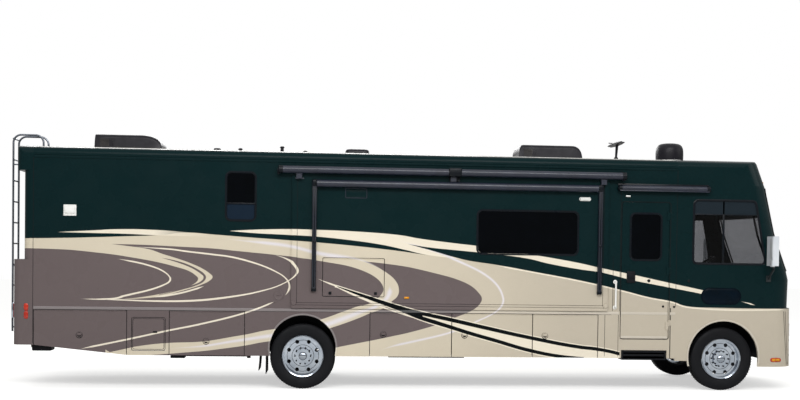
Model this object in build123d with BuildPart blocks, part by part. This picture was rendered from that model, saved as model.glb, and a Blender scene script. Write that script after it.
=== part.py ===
from build123d import *

import math
import os

os.makedirs("parts", exist_ok=True)

# A front-engine class A motorhome. Millimetres, +X forward, +Y to the left, +Z up from the ground.
# The origin is on the ground, halfway between the ladder's rails and the nose.

# --- Driving dimensions: chassis and overall body -------------------------------------------
wheelbase = 6147
front_overhang = 1233       # front axle to the nose
rear_overhang = 4040        # rear axle to the back of the lower rear bulge
ladder_reach = 130          # how far the ladder's rails stand behind the bulge
body_half_width = 1275
wall = 45                   # side wall, roof and cap laminate
body_height = 2270          # floor to the crown of the roof, on the centre line
roof_edge_drop = 210        # crown down to where the side walls end
roof_crown_radius = 9000
roof_edge_radius = 90
floor_thickness = 50
floor_over_arch = 55        # between the front wheel liners and the floor above them
skirt_z = 475               # bottom edge of the side skirts
front_skirt_z = 360         # bottom edge of the fascia
rear_skirt_z = 610          # bottom edge of the rear cap

# --- Running clearances -----------------------------------------------------------------------
seat_gap = 0.3              # moving piece beside the seat or hinge that carries it
door_gap = 6                # around a closed door
bearing_gap = 0.05          # radial, shaft in its bore
glass_gap = 0.4             # bonded glass in its opening

# --- Running gear -----------------------------------------------------------------------------
tyre_radius = 465
tyre_width = 235
rim_radius = 300            # over the rim's flanges
rim_width = 200
front_tyre_y = body_half_width - 190
kingpin_y = front_tyre_y - 150
rear_outer_tyre_y = body_half_width - 185
twin_spacing = 310
rear_inner_tyre_y = rear_outer_tyre_y - twin_spacing
spindle_radius = 40
hub_radius = 110

# --- Stations along the body ------------------------------------------------------------------
rear_axle_x = (rear_overhang + ladder_reach - wheelbase - front_overhang) / 2
front_axle_x = rear_axle_x + wheelbase
nose_x = front_axle_x + front_overhang
tail_x = rear_axle_x - rear_overhang
rear_seam_x = rear_axle_x - 3740
front_seam_x = front_axle_x - 730
hub_z = tyre_radius
inner_y = body_half_width - wall

# --- Wheel arches: openings in the sides and the liners behind them ------------------------------
rear_arch_radius = tyre_radius + 5
rear_arch_z = hub_z + 125
front_arch_radius = tyre_radius + 65
front_arch_z = hub_z + 35
liner_room = 30             # the liner's radius past the arch opening
liner_sheet = 15
rear_liner_y = rear_inner_tyre_y - 180
front_liner_y = front_tyre_y - 460  # leaves room for the steered tyre

# --- Heights that follow from the running gear: floor, walls and roof ----------------------------
floor_bottom_z = front_arch_z + front_arch_radius + liner_room + liner_sheet + floor_over_arch
floor_top_z = floor_bottom_z + floor_thickness
roof_top_z = floor_top_z + body_height
wall_top_z = roof_top_z - roof_edge_drop

# --- Entry door, step and slide-out room ---------------------------------------------------------
entry_rear_x = front_axle_x - 1552
entry_width = 712
entry_bottom_z = floor_top_z - 425
entry_height = 2000
entry_top_z = entry_bottom_z + entry_height
step_top_z = entry_bottom_z - 170
stepwell_depth = 450
stepwell_y = inner_y - stepwell_depth
slide_rear_x = rear_axle_x - 95
slide_front_x = front_axle_x - 1825
slide_header = 180          # slide's top down from the walls' top
slide_top_z = wall_top_z - slide_header
slide_depth = 675
slide_inner_y = body_half_width - slide_depth
slide_wall = 35
slide_flange = 22           # the flange that overlaps the wall outside
slide_flange_stand = 3      # its seal holds it this far off the wall
slide_flange_lap = 80
slide_flange_low_z = floor_top_z - 23
slide_flange_high_z = slide_top_z + 40
slide_outer_y = body_half_width + slide_flange_stand + slide_flange

# --- Storage bays and their lift-up doors ---------------------------------------------------------
bay_top_z = floor_bottom_z - 30
bay_depth = 560
bay_sheet = 20
bay_floor_z = skirt_z + 25
rear_bay_floor_z = bay_floor_z + 150
bay_door_thickness = 40
hatch_z = (540, 1002)
barrel_radius = 6

# --- Roof equipment and tubes ---------------------------------------------------------------------
awning_tube_radius = 52
ladder_tube_radius = 14

Z_AXIS = (0, 0, 1)


def block(x, y, z, mode=Mode.ADD):
    """A box in the current part, given by its low and high X, Y and Z."""
    with Locations(((x[0] + x[1]) / 2, (y[0] + y[1]) / 2, (z[0] + z[1]) / 2)):
        Box(x[1] - x[0], y[1] - y[0], z[1] - z[0], mode=mode)


def rod(start, end, radius, mode=Mode.ADD):
    """A round bar in the current part, from one point to another."""
    start, end = Vector(*start), Vector(*end)
    with BuildSketch(Plane(origin=start, z_dir=end - start)) as section:
        Circle(radius)
    extrude(section.sketch, amount=(end - start).length, mode=mode)


def span(low, high, side):
    """A Y range on one side: side is 1 for the left and -1 for the right."""
    return tuple(sorted((side * low, side * high)))


def crowned_points(half, top, crown_radius, corner_radius, inset):
    """Key points of an outline with straight sides, round corners and a crowned top.

    Each point is (across, along). Corner and crown arcs are tangent, and an inset keeps their
    centres, so that inner and outer outlines are parallel.
    """
    corner_across = half - corner_radius
    crown_centre = top - crown_radius
    corner_along = crown_centre + math.sqrt(
        (crown_radius - corner_radius) ** 2 - corner_across**2
    )
    shoulder_angle = math.atan2(corner_across, corner_along - crown_centre)
    middle_angle = (shoulder_angle + math.pi / 2) / 2
    radius = corner_radius - inset
    on_corner = lambda a: (
        corner_across + radius * math.sin(a),
        corner_along + radius * math.cos(a),
    )
    side = (half - inset, corner_along)
    return side, on_corner(middle_angle), on_corner(shoulder_angle), (0, top - inset)


def crowned_outline(half, top, crown_radius, corner_radius, inset, base, place):
    """Draws that outline in the current sketch; place turns (across, along) into (u, v)."""
    side, middle, shoulder, peak = crowned_points(half, top, crown_radius, corner_radius, inset)
    flip = lambda p: (-p[0], p[1])
    with BuildLine() as outline:
        Line(place(flip(side)), place((-side[0], base)))
        Line(place((-side[0], base)), place((side[0], base)))
        Line(place((side[0], base)), place(side))
        ThreePointArc(place(side), place(middle), place(shoulder))
        ThreePointArc(place(shoulder), place(peak), place(flip(shoulder)))
        ThreePointArc(place(flip(shoulder)), place(flip(middle)), place(flip(side)))
    make_face(outline.edges())


def section_prism(x_low, x_high, inset, base, mode=Mode.ADD):
    """The body's cross-section, from base up to the crowned roof, run along X."""
    with BuildSketch(Plane.YZ.offset(x_low)) as section:
        crowned_outline(body_half_width, roof_top_z, roof_crown_radius, roof_edge_radius,
                        inset, base, lambda p: p)
    extrude(section.sketch, amount=x_high - x_low, mode=mode)


# Front of the body in plan: half-width, bow across the nose and corner radius.
front_bow_radius = 4000
front_corner_radius = 330


def front_loft(levels, back_x, inset, mode=Mode.ADD):
    """A ruled loft through plan outlines; levels has columns (z, setback from the nose)."""
    outlines = []
    for z, setback in levels:
        with BuildSketch(Plane.XY.offset(z)) as outline:
            crowned_outline(body_half_width, nose_x - setback, front_bow_radius,
                            front_corner_radius, inset, back_x, lambda p: (p[1], p[0]))
        outlines.append(outline.sketch)
    loft(outlines, ruled=True, mode=mode)


def save(part, name):
    part.label = name
    export_step(part, f"parts/{name}.step")


# =================================================================================================
# Chassis
# =================================================================================================
rail_y = (400, 470)
rail_height = 230
rail_over_hub = 125
rail_z = (hub_z + rail_over_hub, hub_z + rail_over_hub + rail_height)
rail_rear_x = tail_x + 330
rail_front_x = nose_x - 260
outrigger_length = 100
crossmember_width = 80
hitch_tube_half = 31.75     # a 2 in receiver is 63.5 mm outside and 50.8 mm inside
hitch_bore_half = 25.4
hitch_pin_radius = 8.0
hitch_drop = 75             # rails' underside down to the receiver's centre line
hitch_z = rail_z[0] - hitch_drop
hitch_hanger_half = 120
hitch_rear_x = tail_x + 60
hitch_length = 420
hitch_pin_from_mouth = 65
hitch_z_span = (hitch_z - hitch_tube_half, hitch_z + hitch_tube_half)
outrigger_x = [rear_axle_x + station for station in (-3400, -2500, -1300, 900, 2100)]
outrigger_x += [front_axle_x + station for station in (-2847, -1797)]
outrigger_x.append(rail_front_x - 70)
crossmember_x = [rear_axle_x + station for station in (-3500, -2000, -900, 1000)]
crossmember_x += [front_axle_x + station for station in (-3547, -1947)]

with BuildPart() as frame_rails:
    for side in (1, -1):
        block((rail_rear_x, rail_front_x), span(*rail_y, side), rail_z)
        # Outriggers stand on the rails and carry the floor.
        for x in outrigger_x:
            block((x - outrigger_length / 2, x + outrigger_length / 2), span(*rail_y, side),
                  (rail_z[1] - 1, floor_bottom_z))
save(frame_rails.part, "frame_rails")

with BuildPart() as crossmembers:
    for x in crossmember_x:
        block((x - crossmember_width / 2, x + crossmember_width / 2), (-rail_y[0], rail_y[0]),
              (rail_z[0] + 60, rail_z[1] - 20))
    for x in (rail_rear_x, rail_front_x - crossmember_width):
        block((x, x + crossmember_width), (-rail_y[0], rail_y[0]), rail_z)
save(crossmembers.part, "crossmembers")

# The receiver tube hangs from the last crossmember.
hitch_front_x = hitch_rear_x + hitch_length
with BuildPart() as hitch_receiver:
    block((hitch_rear_x, hitch_front_x), (-hitch_tube_half, hitch_tube_half), hitch_z_span)
    block((rail_rear_x, rail_rear_x + crossmember_width), (-hitch_hanger_half, hitch_hanger_half),
          (hitch_z_span[1], rail_z[0]))
    block((hitch_rear_x - 1, hitch_front_x - 60), (-hitch_bore_half, hitch_bore_half),
          (hitch_z - hitch_bore_half, hitch_z + hitch_bore_half), mode=Mode.SUBTRACT)
    rod((hitch_rear_x + hitch_pin_from_mouth, -60, hitch_z),
        (hitch_rear_x + hitch_pin_from_mouth, 60, hitch_z), hitch_pin_radius, mode=Mode.SUBTRACT)
save(hitch_receiver.part, "hitch_receiver")

# The engine is one plain block between the front rails, carried by two mounts each side.
engine_x = (front_axle_x - 420, front_axle_x + 520)
engine_half_width = rail_y[0] - 80
engine_z = (rail_z[0] - 50, floor_bottom_z - 40)
with BuildPart() as engine:
    block(engine_x, (-engine_half_width, engine_half_width), engine_z)
    for x in (engine_x[0] + 150, engine_x[1] - 150):
        for side in (1, -1):
            block((x - 40, x + 40), span(engine_half_width - 1, rail_y[0], side),
                  (rail_z[0] + 80, rail_z[0] + 150))
save(engine.part, "engine")


def leaf_spring(axle_x, side, half_length, beam_top_z):
    """A leaf pack under one rail, with a hanger at each end and a pad on the axle."""
    y = span(rail_y[0] + 5, rail_y[1] - 5, side)
    block((axle_x - half_length, axle_x + half_length), y, (rail_z[0] - 48, rail_z[0] - 24))
    block((axle_x - half_length * 0.55, axle_x + half_length * 0.55), y,
          (rail_z[0] - 66, rail_z[0] - 47))
    for end in (-1, 1):
        x = axle_x + end * (half_length - 30)
        block((x - 30, x + 30), y, (rail_z[0] - 25, rail_z[0]))
    block((axle_x - 70, axle_x + 70), y, (beam_top_z - 6, rail_z[0] - 47))


kingpin_radius = 18
beam_z = (hub_z - 55, hub_z + 25)
knuckle_eye_half = 55
eye_radius = 45
with BuildPart() as front_axle:
    block((front_axle_x - 45, front_axle_x + 45), (-kingpin_y + 30, kingpin_y - 30), beam_z)
    for y in (kingpin_y, -kingpin_y):
        rod((front_axle_x, y, hub_z - knuckle_eye_half),
            (front_axle_x, y, hub_z + knuckle_eye_half), eye_radius)
        rod((front_axle_x, y, hub_z - 90), (front_axle_x, y, hub_z + 90), kingpin_radius)
    for side in (1, -1):
        leaf_spring(front_axle_x, side, 620, beam_z[1])
save(front_axle.part, "front_axle")

axle_tube_radius = 65
axle_tube_end_y = rear_inner_tyre_y - 160
spindle_end_y = rear_outer_tyre_y + 50
with BuildPart() as rear_axle:
    rod((rear_axle_x, -axle_tube_end_y, hub_z), (rear_axle_x, axle_tube_end_y, hub_z),
        axle_tube_radius)
    with Locations((rear_axle_x, 0, hub_z)):
        Sphere(190)
    for side in (1, -1):
        rod((rear_axle_x, side * (axle_tube_end_y - 20), hub_z),
            (rear_axle_x, side * spindle_end_y, hub_z), spindle_radius)
        leaf_spring(rear_axle_x, side, 700, hub_z + axle_tube_radius - 8)
save(rear_axle.part, "rear_axle")


# --- Wheels ---------------------------------------------------------------------------------------
hand_holes = 8
hand_hole_radius = 28
hand_hole_circle = 215
rim_thickness = 30


def tyre(y_centre):
    """One tyre about the Y axis at the origin: a rounded tread over straight sidewalls."""
    half = tyre_width / 2
    with BuildSketch(Plane.XY) as outline:
        with BuildLine():
            Polyline((rim_radius, y_centre - half + 22), (rim_radius + 40, y_centre - half),
                     (tyre_radius - 40, y_centre - half), (tyre_radius, y_centre - half + 28),
                     (tyre_radius, y_centre + half - 28), (tyre_radius - 40, y_centre + half),
                     (rim_radius + 40, y_centre + half), (rim_radius, y_centre + half - 22),
                     close=True)
        make_face()
    revolve(outline.sketch, axis=Axis.Y)


def rim(y_centre, outboard):
    """A disc wheel about the Y axis: barrel, disc set towards outboard (1 or -1) and hub."""
    disc = y_centre + outboard * 35
    with BuildSketch(Plane.XY) as barrel:
        with Locations((rim_radius - rim_thickness / 2, y_centre)):
            Rectangle(rim_thickness, rim_width)
    revolve(barrel.sketch, axis=Axis.Y)
    with BuildSketch(Plane.XY) as disc_section:
        with Locations(((spindle_radius + 20 + rim_radius - 5) / 2, disc)):
            Rectangle(rim_radius - 5 - spindle_radius - 20, 26)
    revolve(disc_section.sketch, axis=Axis.Y)


def wheel_at(x, y_side, tyres, hub_span, name_wheel, name_tyre):
    """Disc wheels with their hub, and their tyres, at one end of an axle.

    tyres has columns (y of the tyre's centre, which way its disc is set); hub_span is the hub's
    low and high distance from the centre line.
    """
    with BuildPart() as tyre_part:
        for y, _ in tyres:
            tyre(y_side * y)
    with BuildPart() as wheel_part:
        for y, dish in tyres:
            rim(y_side * y, dish * y_side)
        low, high = span(*hub_span, y_side)
        rod((0, low, 0), (0, high, 0), hub_radius)
        rod((0, low - 1, 0), (0, high + 1, 0), spindle_radius + bearing_gap, mode=Mode.SUBTRACT)
        with BuildSketch(Plane.XZ.offset(-high - 1)):
            with PolarLocations(hand_hole_circle, hand_holes, start_angle=22.5):
                Circle(hand_hole_radius)
        extrude(amount=high - low + 2, mode=Mode.SUBTRACT)
    for part, name in ((tyre_part.part, name_tyre), (wheel_part.part, name_wheel)):
        save(part.moved(Location((x, 0, hub_z))), name)


for side, word in ((1, "left"), (-1, "right")):
    wheel_at(rear_axle_x, side, [(rear_outer_tyre_y, -1), (rear_inner_tyre_y, 1)],
             (rear_inner_tyre_y - 80, spindle_end_y + 10),
             f"rear_{word}_wheels", f"rear_{word}_tyres")
    wheel_at(front_axle_x, side, [(front_tyre_y, 1)], (front_tyre_y - 65, front_tyre_y + 95),
             f"front_{word}_wheel", f"front_{word}_tyre")

ear_half = 88
for side, word in ((1, "left"), (-1, "right")):
    with BuildPart() as knuckle:
        # Two ears above and below the axle's eye, joined outboard of it.
        for z in ((hub_z + knuckle_eye_half + seat_gap, hub_z + ear_half),
                  (hub_z - ear_half, hub_z - knuckle_eye_half - seat_gap)):
            block((front_axle_x - 40, front_axle_x + 40),
                  span(kingpin_y - 40, kingpin_y + 78, side), z)
        block((front_axle_x - 40, front_axle_x + 40), span(kingpin_y + 52, kingpin_y + 78, side),
              (hub_z - ear_half, hub_z + ear_half))
        rod((front_axle_x, side * kingpin_y, hub_z - ear_half - 1),
            (front_axle_x, side * kingpin_y, hub_z + ear_half + 1),
            kingpin_radius + bearing_gap, mode=Mode.SUBTRACT)
        rod((front_axle_x, side * (kingpin_y + 70), hub_z),
            (front_axle_x, side * (front_tyre_y + 90), hub_z), spindle_radius)
    save(knuckle.part, f"front_{word}_knuckle")

# =================================================================================================
# Body shell
# =================================================================================================
with BuildPart() as floor:
    block((rear_seam_x, front_seam_x + 950), (-inner_y, inner_y), (floor_bottom_z, floor_top_z))
    # The stepwell behind the entry door.
    block((entry_rear_x - 10, entry_rear_x + entry_width + 10), (-inner_y - 1, -stepwell_y),
          (floor_bottom_z - 1, floor_top_z + 1), mode=Mode.SUBTRACT)
save(floor.part, "floor")

stepwell_sheet = 20
with BuildPart() as entry_steps:
    well_x = (entry_rear_x - 10, entry_rear_x + entry_width + 10)
    well_floor_z = (entry_bottom_z - stepwell_sheet, entry_bottom_z)
    block(well_x, (-inner_y, -stepwell_y), (well_floor_z[0], floor_bottom_z))
    block((well_x[0] + stepwell_sheet, well_x[1] - stepwell_sheet),
          (-inner_y - 1, -stepwell_y - stepwell_sheet), (entry_bottom_z, floor_bottom_z + 1),
          mode=Mode.SUBTRACT)
    # Inner tread, halfway up to the floor.
    tread_z = (entry_bottom_z + floor_top_z) / 2
    block((well_x[0] + 10, well_x[1] - 10), (-stepwell_y - 225, -stepwell_y),
          (well_floor_z[0], tread_z))
    # The folding step's box hangs under the well, flush with the skirt.
    step_x = (entry_rear_x + 32, entry_rear_x + entry_width - 24)
    step_inner_y = -body_half_width + 355
    block(step_x, (-body_half_width + 5, step_inner_y), (step_top_z - 135, step_top_z))
    block((step_x[0] + 20, step_x[1] - 20), (-body_half_width, step_inner_y - 40),
          (step_top_z - 115, step_top_z - 25), mode=Mode.SUBTRACT)
    block((step_x[0] + 25, step_x[1] - 25), (-body_half_width + 12, step_inner_y - 5),
          (step_top_z - 80, step_top_z - 50))
    for x in (step_x[0] + 60, step_x[1] - 60):
        block((x - 20, x + 20), (-body_half_width + 95, step_inner_y - 40),
              (step_top_z - 1, well_floor_z[0] + 1))
save(entry_steps.part, "entry_steps")

# Windows in the flat sides. Columns: side, low x, high x, low z, high z, corner radius.
bedroom_x = (rear_axle_x - 1090, rear_axle_x - 692)
bedroom_z = (wall_top_z - 845, wall_top_z - 178)
galley_z = (floor_top_z + 805, floor_top_z + 1410)
side_windows = [
    (-1, *bedroom_x, *bedroom_z, 60),
    (1, *bedroom_x, *bedroom_z, 60),
    (1, rear_axle_x + 300, rear_axle_x + 1300, *galley_z, 80),
    (1, front_axle_x - 3662, front_axle_x - 2217, *galley_z, 80),
]
# The cab's side windows are in the front cap, one on each side, and split by a mullion.
cab_window_x = (front_axle_x - 480, front_axle_x + 450)
cab_window_low_lean = 165   # how much farther forward the front edge is at the bottom
cab_window_z = (floor_top_z + 690, wall_top_z - 440)
cab_mullion_x = front_axle_x - 30


def cab_window_sketch(shrink):
    """The cab window's outline, in the current sketch on the XZ plane (u = x, v = z)."""
    x, z = cab_window_x, cab_window_z
    with BuildLine() as outline:
        Polyline((x[0] + shrink, z[0] + shrink),
                 (x[1] + cab_window_low_lean - shrink, z[0] + shrink),
                 (x[1] - shrink, z[1] - shrink), (x[0] + shrink, z[1] - shrink), close=True)
    make_face(outline.edges())


# Notches for the bay doors. Columns: side, low x, high x. Doors hang side by side in a notch.
middle_bay_x = (rear_axle_x + 950, front_axle_x - 1880)
right_middle_shares = (11, 11, 9)
left_middle_shares = (1, 1)
rear_bay_x = (rear_axle_x - 3728, rear_axle_x - 2455)
hatch_x = (rear_axle_x - 2390, rear_axle_x - 1922)
aft_bay_x = (rear_axle_x - 1870, rear_axle_x - 820)
skirt_rise_x = rear_bay_x[1] - 5    # behind it the skirt's edge climbs to the rear cap


def door_row(x_span, shares):
    """Splits a notch into doors by their shares of its width, with a gap around each."""
    unit = (x_span[1] - x_span[0]) / sum(shares)
    edges = [x_span[0] + unit * sum(shares[:i]) for i in range(len(shares) + 1)]
    return [(low + door_gap, high - door_gap) for low, high in zip(edges, edges[1:])]


def side_wall(side):
    """The flat side between the caps, with its arch, windows, door and bay openings cut."""
    y_plane = Plane.XZ.offset(-inner_y) if side > 0 else Plane.XZ.offset(body_half_width)
    with BuildSketch(y_plane) as panel:
        with BuildLine():
            Polyline((rear_seam_x, rear_skirt_z), (skirt_rise_x, skirt_z),
                     (front_seam_x, skirt_z), (front_seam_x, wall_top_z),
                     (rear_seam_x, wall_top_z), close=True)
        make_face()
    extrude(panel.sketch, amount=-wall)
    cut_y = span(inner_y - 5, body_half_width + 5, side)
    rod((rear_axle_x, cut_y[0], rear_arch_z), (rear_axle_x, cut_y[1], rear_arch_z),
        rear_arch_radius, mode=Mode.SUBTRACT)
    block((rear_axle_x - rear_arch_radius, rear_axle_x + rear_arch_radius), cut_y,
          (skirt_z - 10, rear_arch_z), mode=Mode.SUBTRACT)
    for x_span in (rear_bay_x, aft_bay_x, middle_bay_x):
        block(x_span, cut_y, (skirt_z - 10, bay_top_z), mode=Mode.SUBTRACT)
    for window_side, x0, x1, z0, z1, corner in side_windows:
        if window_side == side:
            with BuildSketch(Plane.XZ.offset(-cut_y[0])) as opening:
                with Locations(((x0 + x1) / 2, (z0 + z1) / 2)):
                    RectangleRounded(x1 - x0, z1 - z0, corner)
            extrude(opening.sketch, amount=-(cut_y[1] - cut_y[0]), mode=Mode.SUBTRACT)
    return cut_y


with BuildPart() as left_wall:
    side_wall(1)
save(left_wall.part, "left_wall")

with BuildPart() as right_wall:
    right_cut_y = side_wall(-1)
    block((entry_rear_x, entry_rear_x + entry_width), right_cut_y, (entry_bottom_z, entry_top_z),
          mode=Mode.SUBTRACT)
    block((entry_rear_x + 20, entry_rear_x + entry_width - 12), right_cut_y,
          (skirt_z - 10, step_top_z + 8), mode=Mode.SUBTRACT)
    block(hatch_x, right_cut_y, hatch_z, mode=Mode.SUBTRACT)
    block((slide_rear_x - door_gap, slide_front_x + door_gap), right_cut_y,
          (floor_top_z - door_gap, slide_top_z + door_gap), mode=Mode.SUBTRACT)
save(right_wall.part, "right_wall")

with BuildPart() as roof:
    section_prism(rear_seam_x, front_seam_x, 0, wall_top_z)
    section_prism(rear_seam_x - 1, front_seam_x + 1, wall, wall_top_z - 1, mode=Mode.SUBTRACT)
save(roof.part, "roof")

# --- Rear cap: an overhanging top, a flat back and a lower bulge ---------------------------------
rear_bow_radius = 30000
rear_corner_radius = 110
bulge_top_z = floor_top_z + 620
overhang_z = wall_top_z - 200
overhang_setback = 45
back_setback = 140
# Columns: low z, high z, how far ahead of the bulge's back this band's back is.
rear_bands = [(rear_skirt_z, bulge_top_z, 0), (rear_skirt_z, roof_top_z, back_setback),
              (overhang_z, roof_top_z, overhang_setback)]
rear_hollows = [(rear_skirt_z - 50, bulge_top_z - wall, 0),
                (rear_skirt_z - 50, roof_top_z, back_setback),
                (overhang_z + wall, roof_top_z, overhang_setback)]


def rear_skin_x(y, setback):
    """Where the rear cap's bowed back is, at a distance from the centre line."""
    return tail_x + setback + rear_bow_radius - math.sqrt(rear_bow_radius**2 - y**2)


def rear_band(low_z, high_z, setback, inset, mode=Mode.ADD):
    with BuildSketch(Plane.XY.offset(low_z)) as outline:
        crowned_outline(body_half_width, -(tail_x + setback), rear_bow_radius,
                        rear_corner_radius, inset, -rear_seam_x, lambda p: (-p[1], p[0]))
    extrude(outline.sketch, amount=high_z - low_z, mode=mode)


with BuildPart() as rear_cap_inside:
    for low_z, high_z, setback in rear_hollows:
        rear_band(low_z, high_z, setback, wall)
    section_prism(tail_x - 10, rear_seam_x, wall, rear_skirt_z - 60, mode=Mode.INTERSECT)

with BuildPart() as rear_cap:
    for low_z, high_z, setback in rear_bands:
        rear_band(low_z, high_z, setback, 0)
    section_prism(tail_x - 10, rear_seam_x, 0, rear_skirt_z - 10, mode=Mode.INTERSECT)
    add(rear_cap_inside.part, mode=Mode.SUBTRACT)
save(rear_cap.part, "rear_cap")

# --- Front cap: upper shell with windshield and cab windows ---------------------------------------
cap_bottom_z = floor_top_z + 40
# Columns: height, how far the nose is set back there.
cap_levels = [(cap_bottom_z, 55), (cap_bottom_z + 420, 45), (cap_bottom_z + 580, 85),
              (cap_bottom_z + 1100, 275), (roof_top_z - 430, 435), (roof_top_z - 100, 560),
              (roof_top_z - 35, 610), (roof_top_z + 10, 690)]
windshield_half = body_half_width - 145
windshield_z = (cap_bottom_z + 550, wall_top_z - 240)
glass_thickness = 8
glass_inset = 4


def windshield_cutter(shrink, mode):
    """A rounded rectangle seen from ahead, run through the front of the cap."""
    with BuildSketch(Plane.YZ.offset(front_axle_x + 250)) as opening:
        with Locations((0, (windshield_z[0] + windshield_z[1]) / 2)):
            RectangleRounded(2 * (windshield_half - shrink),
                             windshield_z[1] - windshield_z[0] - 2 * shrink, 90)
    extrude(opening.sketch, amount=front_overhang, mode=mode)


with BuildPart() as front_cap_inside:
    front_loft(cap_levels, front_seam_x - 5, wall)
    section_prism(front_seam_x - 20, nose_x + 20, wall, cap_bottom_z - 5, mode=Mode.INTERSECT)

with BuildPart() as front_cap:
    front_loft(cap_levels, front_seam_x, 0)
    section_prism(front_seam_x - 5, nose_x + 20, 0, cap_bottom_z - 5, mode=Mode.INTERSECT)
    add(front_cap_inside.part, mode=Mode.SUBTRACT)
    windshield_cutter(0, Mode.SUBTRACT)
    with BuildSketch(Plane.XZ.offset(-body_half_width - 5)):
        cab_window_sketch(0)
    extrude(amount=2 * body_half_width + 10, mode=Mode.SUBTRACT)
save(front_cap.part, "front_cap")

with BuildPart() as windshield:
    front_loft(cap_levels, front_seam_x, glass_inset)
    front_loft(cap_levels, front_seam_x - 5, glass_inset + glass_thickness, mode=Mode.SUBTRACT)
    windshield_cutter(glass_gap, Mode.INTERSECT)
    # A centre post divides the two panes.
    block((front_axle_x, nose_x), (-12, 12), windshield_z, mode=Mode.SUBTRACT)
save(windshield.part, "windshield")

with BuildPart() as side_glass:
    for side, x0, x1, z0, z1, corner in side_windows:
        y = span(body_half_width - 16, body_half_width - 8, side)
        with BuildSketch(Plane.XZ.offset(-y[0])):
            with Locations(((x0 + x1) / 2, (z0 + z1) / 2)):
                RectangleRounded(x1 - x0 - 2 * glass_gap, z1 - z0 - 2 * glass_gap, corner)
        extrude(amount=-(y[1] - y[0]))
    for side in (1, -1):
        y = span(body_half_width - 16, body_half_width - 8, side)
        with BuildSketch(Plane.XZ.offset(-y[0])):
            cab_window_sketch(glass_gap)
        extrude(amount=-(y[1] - y[0]))
        block((cab_mullion_x - 12, cab_mullion_x + 12), y, cab_window_z, mode=Mode.SUBTRACT)
save(side_glass.part, "side_glass")

# --- Front fascia: the lower nose and the skirts around the front wheels -------------------------
fascia_levels = [(front_skirt_z, 0), (cap_bottom_z, 15)]
headlamp_y = (body_half_width - 635, body_half_width - 255)
headlamp_z = (cap_bottom_z - 420, cap_bottom_z - 235)


def lamp_cutter(shrink, mode):
    for side in (1, -1):
        y = span(headlamp_y[0] + shrink, headlamp_y[1] - shrink, side)
        block((nose_x - 433, nose_x + 20), y,
              (headlamp_z[0] + shrink, headlamp_z[1] - shrink), mode=mode)


with BuildPart() as front_fascia:
    front_loft(fascia_levels, front_seam_x, 0)
    front_loft([(front_skirt_z - 10, 0), (cap_bottom_z + 10, 15)], front_seam_x - 5, wall,
               mode=Mode.SUBTRACT)
    arch_y = (-body_half_width - 25, body_half_width + 25)
    rod((front_axle_x, arch_y[0], front_arch_z), (front_axle_x, arch_y[1], front_arch_z),
        front_arch_radius, mode=Mode.SUBTRACT)
    block((front_axle_x - front_arch_radius, front_axle_x + front_arch_radius), arch_y,
          (front_skirt_z - 10, front_arch_z), mode=Mode.SUBTRACT)
    block((front_seam_x - 10, front_axle_x), arch_y, (front_skirt_z - 10, skirt_z - 35),
          mode=Mode.SUBTRACT)
    lamp_cutter(0, Mode.SUBTRACT)
save(front_fascia.part, "front_fascia")

with BuildPart() as headlamp_cut:
    lamp_cutter(glass_gap, Mode.ADD)
with BuildPart() as headlamps:
    front_loft(fascia_levels, front_seam_x, 3)
    front_loft([(front_skirt_z - 10, 0), (cap_bottom_z + 10, 15)], front_seam_x - 5, wall + 20,
               mode=Mode.SUBTRACT)
    add(headlamp_cut.part, mode=Mode.INTERSECT)
save(headlamps.part, "headlamps")

tail_lamp_y = (body_half_width - 265, body_half_width - 125)
tail_lamp_z = (floor_top_z - 195, floor_top_z)
with BuildPart() as tail_lamps:
    for side in (1, -1):
        block((tail_x - 12, tail_x + 60), span(*tail_lamp_y, side), tail_lamp_z)
    rear_band(rear_skirt_z, bulge_top_z, 0, 0, mode=Mode.SUBTRACT)
save(tail_lamps.part, "tail_lamps")

# --- Wheel liners with the mud flaps behind them ----------------------------------------------------
# Columns: axle x, arch radius, arch centre height, inner y.
wells = [(rear_axle_x, rear_arch_radius, rear_arch_z, rear_liner_y),
         (front_axle_x, front_arch_radius, front_arch_z, front_liner_y)]
with BuildPart() as wheel_liners:
    for axle_x, radius, arch_z, low_y in wells:
        for side in (1, -1):
            y = span(low_y, inner_y, side)
            outer = radius + liner_room + liner_sheet
            rod((axle_x, y[0], arch_z), (axle_x, y[1], arch_z), outer)
            block((axle_x - outer, axle_x + outer), y, (skirt_z + 5, arch_z))
            inner = span(low_y + liner_sheet, inner_y + 5, side)
            room = radius + liner_room
            rod((axle_x, inner[0], arch_z), (axle_x, inner[1], arch_z), room,
                mode=Mode.SUBTRACT)
            block((axle_x - room, axle_x + room), inner, (skirt_z, arch_z), mode=Mode.SUBTRACT)
            block((axle_x - outer - 20, axle_x + outer + 20), span(0, inner_y + 10, side),
                  (-200, skirt_z + 5), mode=Mode.SUBTRACT)
    # The inner side is open around the axle, its springs and the steering.
    for axle_x, radius, arch_z, low_y in wells:
        block((axle_x - 260, axle_x + 260), (-low_y - 50, low_y + 50), (0, hub_z + 220),
              mode=Mode.SUBTRACT)
    flap_x = rear_axle_x - rear_arch_radius - liner_room - liner_sheet
    for side in (1, -1):
        block((flap_x - 8, flap_x + 2), span(rear_liner_y + 40, inner_y - 15, side),
              (skirt_z - 260, skirt_z + 80))
save(wheel_liners.part, "wheel_liners")

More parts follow.
